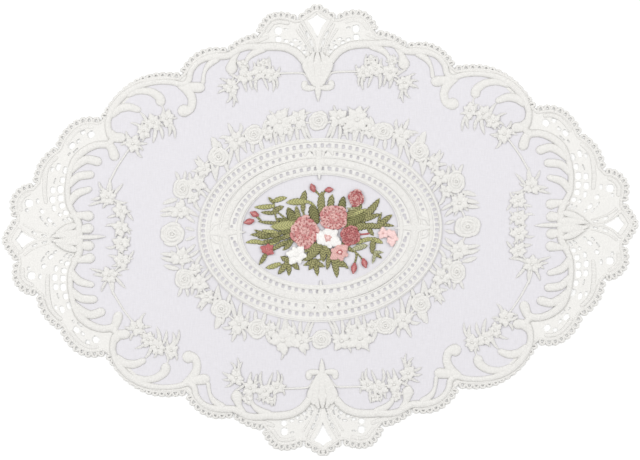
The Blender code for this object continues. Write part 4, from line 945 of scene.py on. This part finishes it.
def add_edge(white):
    """Picots and the cord inside them."""
    edge = Stitches()
    for arch in picots():
        for image in four_ways(arch):
            edge.stroke(image, EDGE_BASE, PICOT_RISE)
    cord = [(x, y, CORD_WIDTH) for x, y in edge_cord(CORD_DEPTH)]
    edge.stroke(cord, EDGE_BASE, CORD_RISE, closed=True)
    return dress(edge.build("picot_edge", [white]), "lace_border")


def add_ground(net):
    """The net between the edge and the seam, with its holes."""
    seam = closed_round(smooth([row[:2] for row in SEAM], OUTLINE_STEP))
    gaps = [seam]
    for row in HOLES:
        gaps += four_holes(row)
    top_gap = TOP_CREST_GAP + tuple((-x, y) for x, y in reversed(TOP_CREST_GAP[1:-1]))
    end_gap = END_CREST_GAP + tuple((x, -y) for x, y in reversed(END_CREST_GAP[1:-1]))
    for sign in (1, -1):
        gaps.append([(x, sign * y) for x, y in top_gap])
        gaps.append([(sign * x, y) for x, y in end_gap])
    sheet = pierced_sheet("lace_net", edge_cord(CORD_DEPTH), gaps, NET_BOTTOM, NET_TOP, net)
    return dress(sheet, "lace_border")


def add_scrolls(white):
    """The seam band, the satin scrolls and the bars of the lobes."""
    satin = Stitches()
    satin.stroke(closed_round(smooth(SEAM, SATIN_STEP)), SEWN, BAND_RISE, closed=True)
    for stations in SCROLLS.values():
        for image in four_ways(smooth(stations, SATIN_STEP)):
            satin.stroke(image, SEWN, STROKE_RISE)
    for stations in TOP_SCROLLS.values():
        for sign in (1, -1):
            line = [(x, sign * y, w) for x, y, w in smooth(stations, SATIN_STEP)]
            satin.stroke(line, SEWN + AXIS_LIFT, STROKE_RISE)
    for stations in END_SCROLLS.values():
        for sign in (1, -1):
            line = [(sign * x, y, w) for x, y, w in smooth(stations, SATIN_STEP)]
            satin.stroke(line, SEWN + AXIS_LIFT, STROKE_RISE)
    for stations in PALMETTE_RIBS:
        for image in four_ways(smooth(stations, SATIN_STEP)):
            satin.stroke(image, SEWN + RIB_LIFT, RIB_RISE)
    for line in [smooth(stations, SATIN_STEP) for stations in FILLS + CREST_LINES] + lobe_bands():
        for image in four_ways(line):
            satin.stroke(image, NET_TOP, FILL_RISE)
    return dress(satin.build("satin_scrolls", [white]), "lace_border")


def sprigs(x, y, radius):
    """Small curled leaves that stick out round a flower, no two flowers alike."""
    rows = []
    for k in range(SPRIGS):
        mood = math.sin(1.7 * x + 2.3 * y + 2.9 * k)
        angle = 2 * math.pi * (k + 0.4 * mood) / SPRIGS + x
        reach = radius * (SPRIG_REACH + SPRIG_UNEVEN * mood)
        root, tip = 0.5 * radius, reach
        rows.append((x + root * math.cos(angle), y + root * math.sin(angle),
                     x + tip * math.cos(angle), y + tip * math.sin(angle), SPRIG_WIDTH, mood))
    return rows


def swayed(row):
    """A leaf turned, stretched and curled a little by where it grows, so that no two are alike."""
    x0, y0, x1, y1, width, bend = row
    mood = math.sin(1.9 * x1 + 3.1 * y1)
    turned = Matrix.Rotation(LEAF_SWAY * mood, 2) @ Vector((x1 - x0, y1 - y0))
    turned *= 1 + LEAF_STRETCH * math.sin(2.7 * x1 + y1)
    curl = LEAF_CURL * (bend + LEAF_WAVE * mood)
    return x0, y0, x0 + turned.x, y0 + turned.y, width, curl


def add_spray(stitches, flowers, leaves, base):
    """Flowers and leaves of a quarter, mirrored round."""
    for sx in (1, -1):
        for sy in (1, -1):
            for row in leaves:
                x0, y0, x1, y1, width, curl = swayed(row)
                curl *= sx * sy
                stitches.leaf((sx * x0, sy * y0, sx * x1, sy * y1, width, curl), base, LEAF_RISE)
            for x, y, radius, petals in flowers:
                for row in sprigs(sx * x, sy * y, radius):
                    stitches.leaf(row, base, LEAF_RISE)
                stitches.flower(sx * x, sy * y, (radius, radius), petals, base + FLOWER_LIFT, PETAL_RISE,
                                turn=0.4 + 0.3 * x * sx)


def add_border_sprays(white):
    """The small flowers and leaves that run inside the border."""
    sprays = Stitches()
    for image in four_ways(smooth(SPRAY_STEM, SATIN_STEP)):
        sprays.stroke(image, SEWN, STEM_RISE)
    add_spray(sprays, SPRAY_FLOWERS, SPRAY_LEAVES, SEWN)
    return dress(sprays.build("border_sprays", [white]), "lace_border")


def add_ring(white, net):
    """The embroidered oval ring: pierced ground, cords and a wide satin row."""
    gaps = [oval(RING_INNER, 120)]
    for row in RING_SPOTS:
        gaps += four_holes(row)
    for a, b, count, half_length, half_width, free_top, free_end in RING_HOLES:
        for k in range(count):
            turn = 2 * math.pi * (k + 0.5) / count
            x, y = a * math.cos(turn), b * math.sin(turn)
            if abs(x) > free_top and abs(y) > free_end:
                lean = math.degrees(math.atan2(y * a / b, x * b / a))
                gaps.append(hole((x, y, half_length, half_width, lean)))
    ground = pierced_sheet("ring_ground", oval(RING_OUTER, 160), gaps, RING_BOTTOM, RING_TOP, net)
    rows = Stitches()
    for a, b, width, rise in RING_CORDS:
        rows.stroke(oval((a, b), RING_STEPS, width), RING_TOP - CORD_SINK, rise, closed=True)
    for stations in RING_MOTIFS:
        for image in four_ways(smooth(stations, SATIN_STEP)):
            rows.stroke(image, RING_TOP, MOTIF_RISE)
    for image in ring_sprigs():
        rows.stroke(image, RING_TOP + SPRIG_BASE, RING_SPRIGS[6])
    return (dress(ground, "wreath_ring"), dress(rows.build("ring_cords", [white]), "wreath_ring"))


def ring_sprigs():
    """Short strokes that lean in turn to either side along the ring's satin row."""
    a, b, count, half_length, half_width, lean, _ = RING_SPRIGS
    strokes = []
    for k in range(count):
        turn = 2 * math.pi * (k + 0.5) / count
        x, y = a * math.cos(turn), b * math.sin(turn)
        way = math.atan2(b * math.cos(turn), -a * math.sin(turn)) + math.radians(lean) * (-1) ** k
        run_x, run_y = half_length * math.cos(way), half_length * math.sin(way)
        strokes.append([(x - run_x, y - run_y, half_width * 0.5), (x, y, half_width),
                        (x + run_x, y + run_y, half_width * 0.5)])
    return strokes


def add_garland(white):
    """Roses, flowers and leaves round the ring."""
    garland = Stitches()
    for image in four_ways(smooth(WREATH_STEM, SATIN_STEP)):
        garland.stroke(image, SEWN, STEM_RISE)
    add_spray(garland, WREATH_FLOWERS, WREATH_LEAVES, SEWN)
    for sx in (1, -1):
        for sy in (1, -1):
            for x, y, half_length, half_height in WREATH_ROSES:
                garland.rose(sx * x, sy * y, (half_length, half_height), ROSE_BASE, ROSE_RISE, turn=x * sx)
    for sign in (1, -1):
        x, y, half_length, half_height = TOP_WREATH_ROSE
        garland.rose(x, sign * y, (half_length, half_height), ROSE_BASE, ROSE_RISE, turn=sign * 1.1)
        x, y, half_length, half_height = END_WREATH_ROSE
        garland.rose(sign * x, y, (half_length, half_height), ROSE_BASE, ROSE_RISE, turn=sign * 0.6)
    return dress(garland.build("wreath_garland", [white]), "wreath_ring")


def add_foliage(threads):
    """Leaves and stems of the bouquet."""
    names = ["olive", "dark", "lime", "pale_green", "rose_red"]
    foliage = Stitches()
    for stations in BOUQUET_STEMS:
        foliage.stroke(smooth(stations, SATIN_STEP), LEAF_BASE, STEM_RISE, names.index("olive"))
    foliage.stroke(smooth(RED_STEM, SATIN_STEP), LEAF_BASE, STEM_RISE, names.index("rose_red"))
    for k, row in enumerate(BOUQUET_LEAVES):
        foliage.leaf(row, LEAF_BASE + LEAF_LAP * (k % 3), LEAF_RISE, names.index(row[6]))
    piece = foliage.build("bouquet_foliage", [threads[name] for name in names])
    return dress(piece, "bouquet_leaves", slot="leaf_green")


def add_blooms(threads):
    """The blooms of the bouquet, one piece each."""
    pieces = []
    for name, (kind, x, y, half_length, half_height, *colours) in BLOOMS.items():
        bloom = Stitches()
        radii = (half_length * BLOOM_SPREAD, half_height * BLOOM_SPREAD)
        if kind == "rose":
            bloom.rose(x, y, radii, BLOOM_BASE, ROSE_RISE, (0, 1, 0, 1, 0), x, RUFFLED_RINGS)
            bloom.dashes(x, y, radii, BLOOM_BASE + DASH_LIFT, ROSE_RISE, 2)
        elif kind == "flower":
            bloom.flower(x, y, radii, 6, BLOOM_BASE, PETAL_RISE, (0, 2), x, full=1.1)
            bloom.flower(x, y, [0.34 * r for r in radii], 6, BLOOM_BASE + 0.2, PETAL_RISE, (1, 2), x + 0.5)
        elif kind == "bell":
            bloom.flower(x, y, radii, 5, BLOOM_BASE, PETAL_RISE, (0, 1), x, full=1.1)
        else:
            line = [(x + t * half_length, y + t * half_height, BUD_WIDTH * w) for t, w in BUD]
            bloom.stroke(smooth(line, PETAL_STEP), BLOOM_BASE, PETAL_RISE, 0)
            line = [(px, py, w * 0.4) for px, py, w in line]
            bloom.stroke(smooth(line[1:], PETAL_STEP), BLOOM_BASE + 0.3, PETAL_RISE, 1)
        piece = bloom.build(name + "_threads", [threads[c] for c in colours])
        pieces.append(dress(piece, name, slot=SLOTS[name]))
    return pieces


def add_panel(made):
    """The sheer panel under the seam band."""
    outline = closed_round(smooth([row[:2] for row in SEAM], OUTLINE_STEP))
    across = np.arange(-152, 153, PANEL_GRID)
    up = np.arange(-110, 111, PANEL_GRID)
    inner = [(x, y) for x in across for y in up if inside((x, y), outline)]
    panel = pierced_sheet("organza_sheet", outline, [], PANEL_BOTTOM, PANEL_TOP, made, inner)
    return dress(panel, "organza_panel", slot="organza")


def inside(point, outline):
    """Whether a point is well inside a closed outline."""
    x, y = point
    crossings = 0
    for a, b in zip(outline, outline[1:] + outline[:1]):
        if (a[1] > y) != (b[1] > y) and x < a[0] + (y - a[1]) / (b[1] - a[1]) * (b[0] - a[0]):
            crossings += 1
    return crossings % 2 == 1


def add_floor():
    """A plain pale table."""
    made = bpy.data.materials.new("table_white")
    made.use_nodes = True
    shader = made.node_tree.nodes["Principled BSDF"]
    shader.inputs["Base Color"].default_value = (*FLOOR_COLOUR, 1)
    shader.inputs["Roughness"].default_value = 0.9
    shader.inputs["Specular IOR Level"].default_value = 0.0
    grain = made.node_tree.nodes.new("ShaderNodeTexNoise")
    grain.inputs["Scale"].default_value = 600
    bump = made.node_tree.nodes.new("ShaderNodeBump")
    bump.inputs["Strength"].default_value = 0.02
    bump.inputs["Distance"].default_value = BUMP_DEPTH
    made.node_tree.links.new(grain.outputs[0], bump.inputs["Height"])
    made.node_tree.links.new(bump.outputs[0], shader.inputs["Normal"])
    mesh = bpy.data.meshes.new("floor")
    mesh.from_pydata([(-3, -3, 0), (3, -3, 0), (3, 3, 0), (-3, 3, 0)], [], [(0, 1, 2, 3)])
    mesh.materials.append(made)
    floor = bpy.data.objects.new("floor", mesh)
    bpy.context.scene.collection.objects.link(floor)


def add_light(name, place, size, watts):
    """A soft square light that faces the middle of the table."""
    lamp = bpy.data.lights.new(name, "AREA")
    lamp.size = size
    lamp.energy = watts
    made = bpy.data.objects.new(name, lamp)
    made.location = place
    made.rotation_mode = "QUATERNION"
    made.rotation_quaternion = (-Vector(place)).to_track_quat("-Z", "Y")
    bpy.context.scene.collection.objects.link(made)


def add_stage():
    """Floor, lights, pale world and a camera straight above."""
    add_floor()
    for name, place, size, watts in LIGHTS:
        add_light(name, place, size, watts)
    world = bpy.data.worlds.new("studio")
    world.use_nodes = True
    world.node_tree.nodes["Background"].inputs["Color"].default_value = (1, 1, 1, 1)
    world.node_tree.nodes["Background"].inputs["Strength"].default_value = WORLD_STRENGTH
    bpy.context.scene.world = world
    bpy.context.scene.view_settings.view_transform = "Standard"
    camera = bpy.data.cameras.new("camera")
    camera.lens = LENS
    camera.sensor_width = SENSOR
    placed = bpy.data.objects.new("camera", camera)
    placed.location = (0, 0, PHOTO_WIDTH * MM * LENS / SENSOR + PANEL_TOP * MM)
    placed.rotation_euler = (0, 0, math.radians(-PHOTO_ROLL))
    bpy.context.scene.collection.objects.link(placed)
    bpy.context.scene.camera = placed


def main():
    threads = {name: thread(name) for name in THREADS}
    net = net_ground()
    panel = add_panel(organza())
    pieces = [add_ground(net), add_edge(threads["white"]), add_scrolls(threads["white"]),
              add_border_sprays(threads["white"]), *add_ring(threads["white"], net),
              add_garland(threads["white"]), add_foliage(threads), *add_blooms(threads)]
    add_stage()


main()
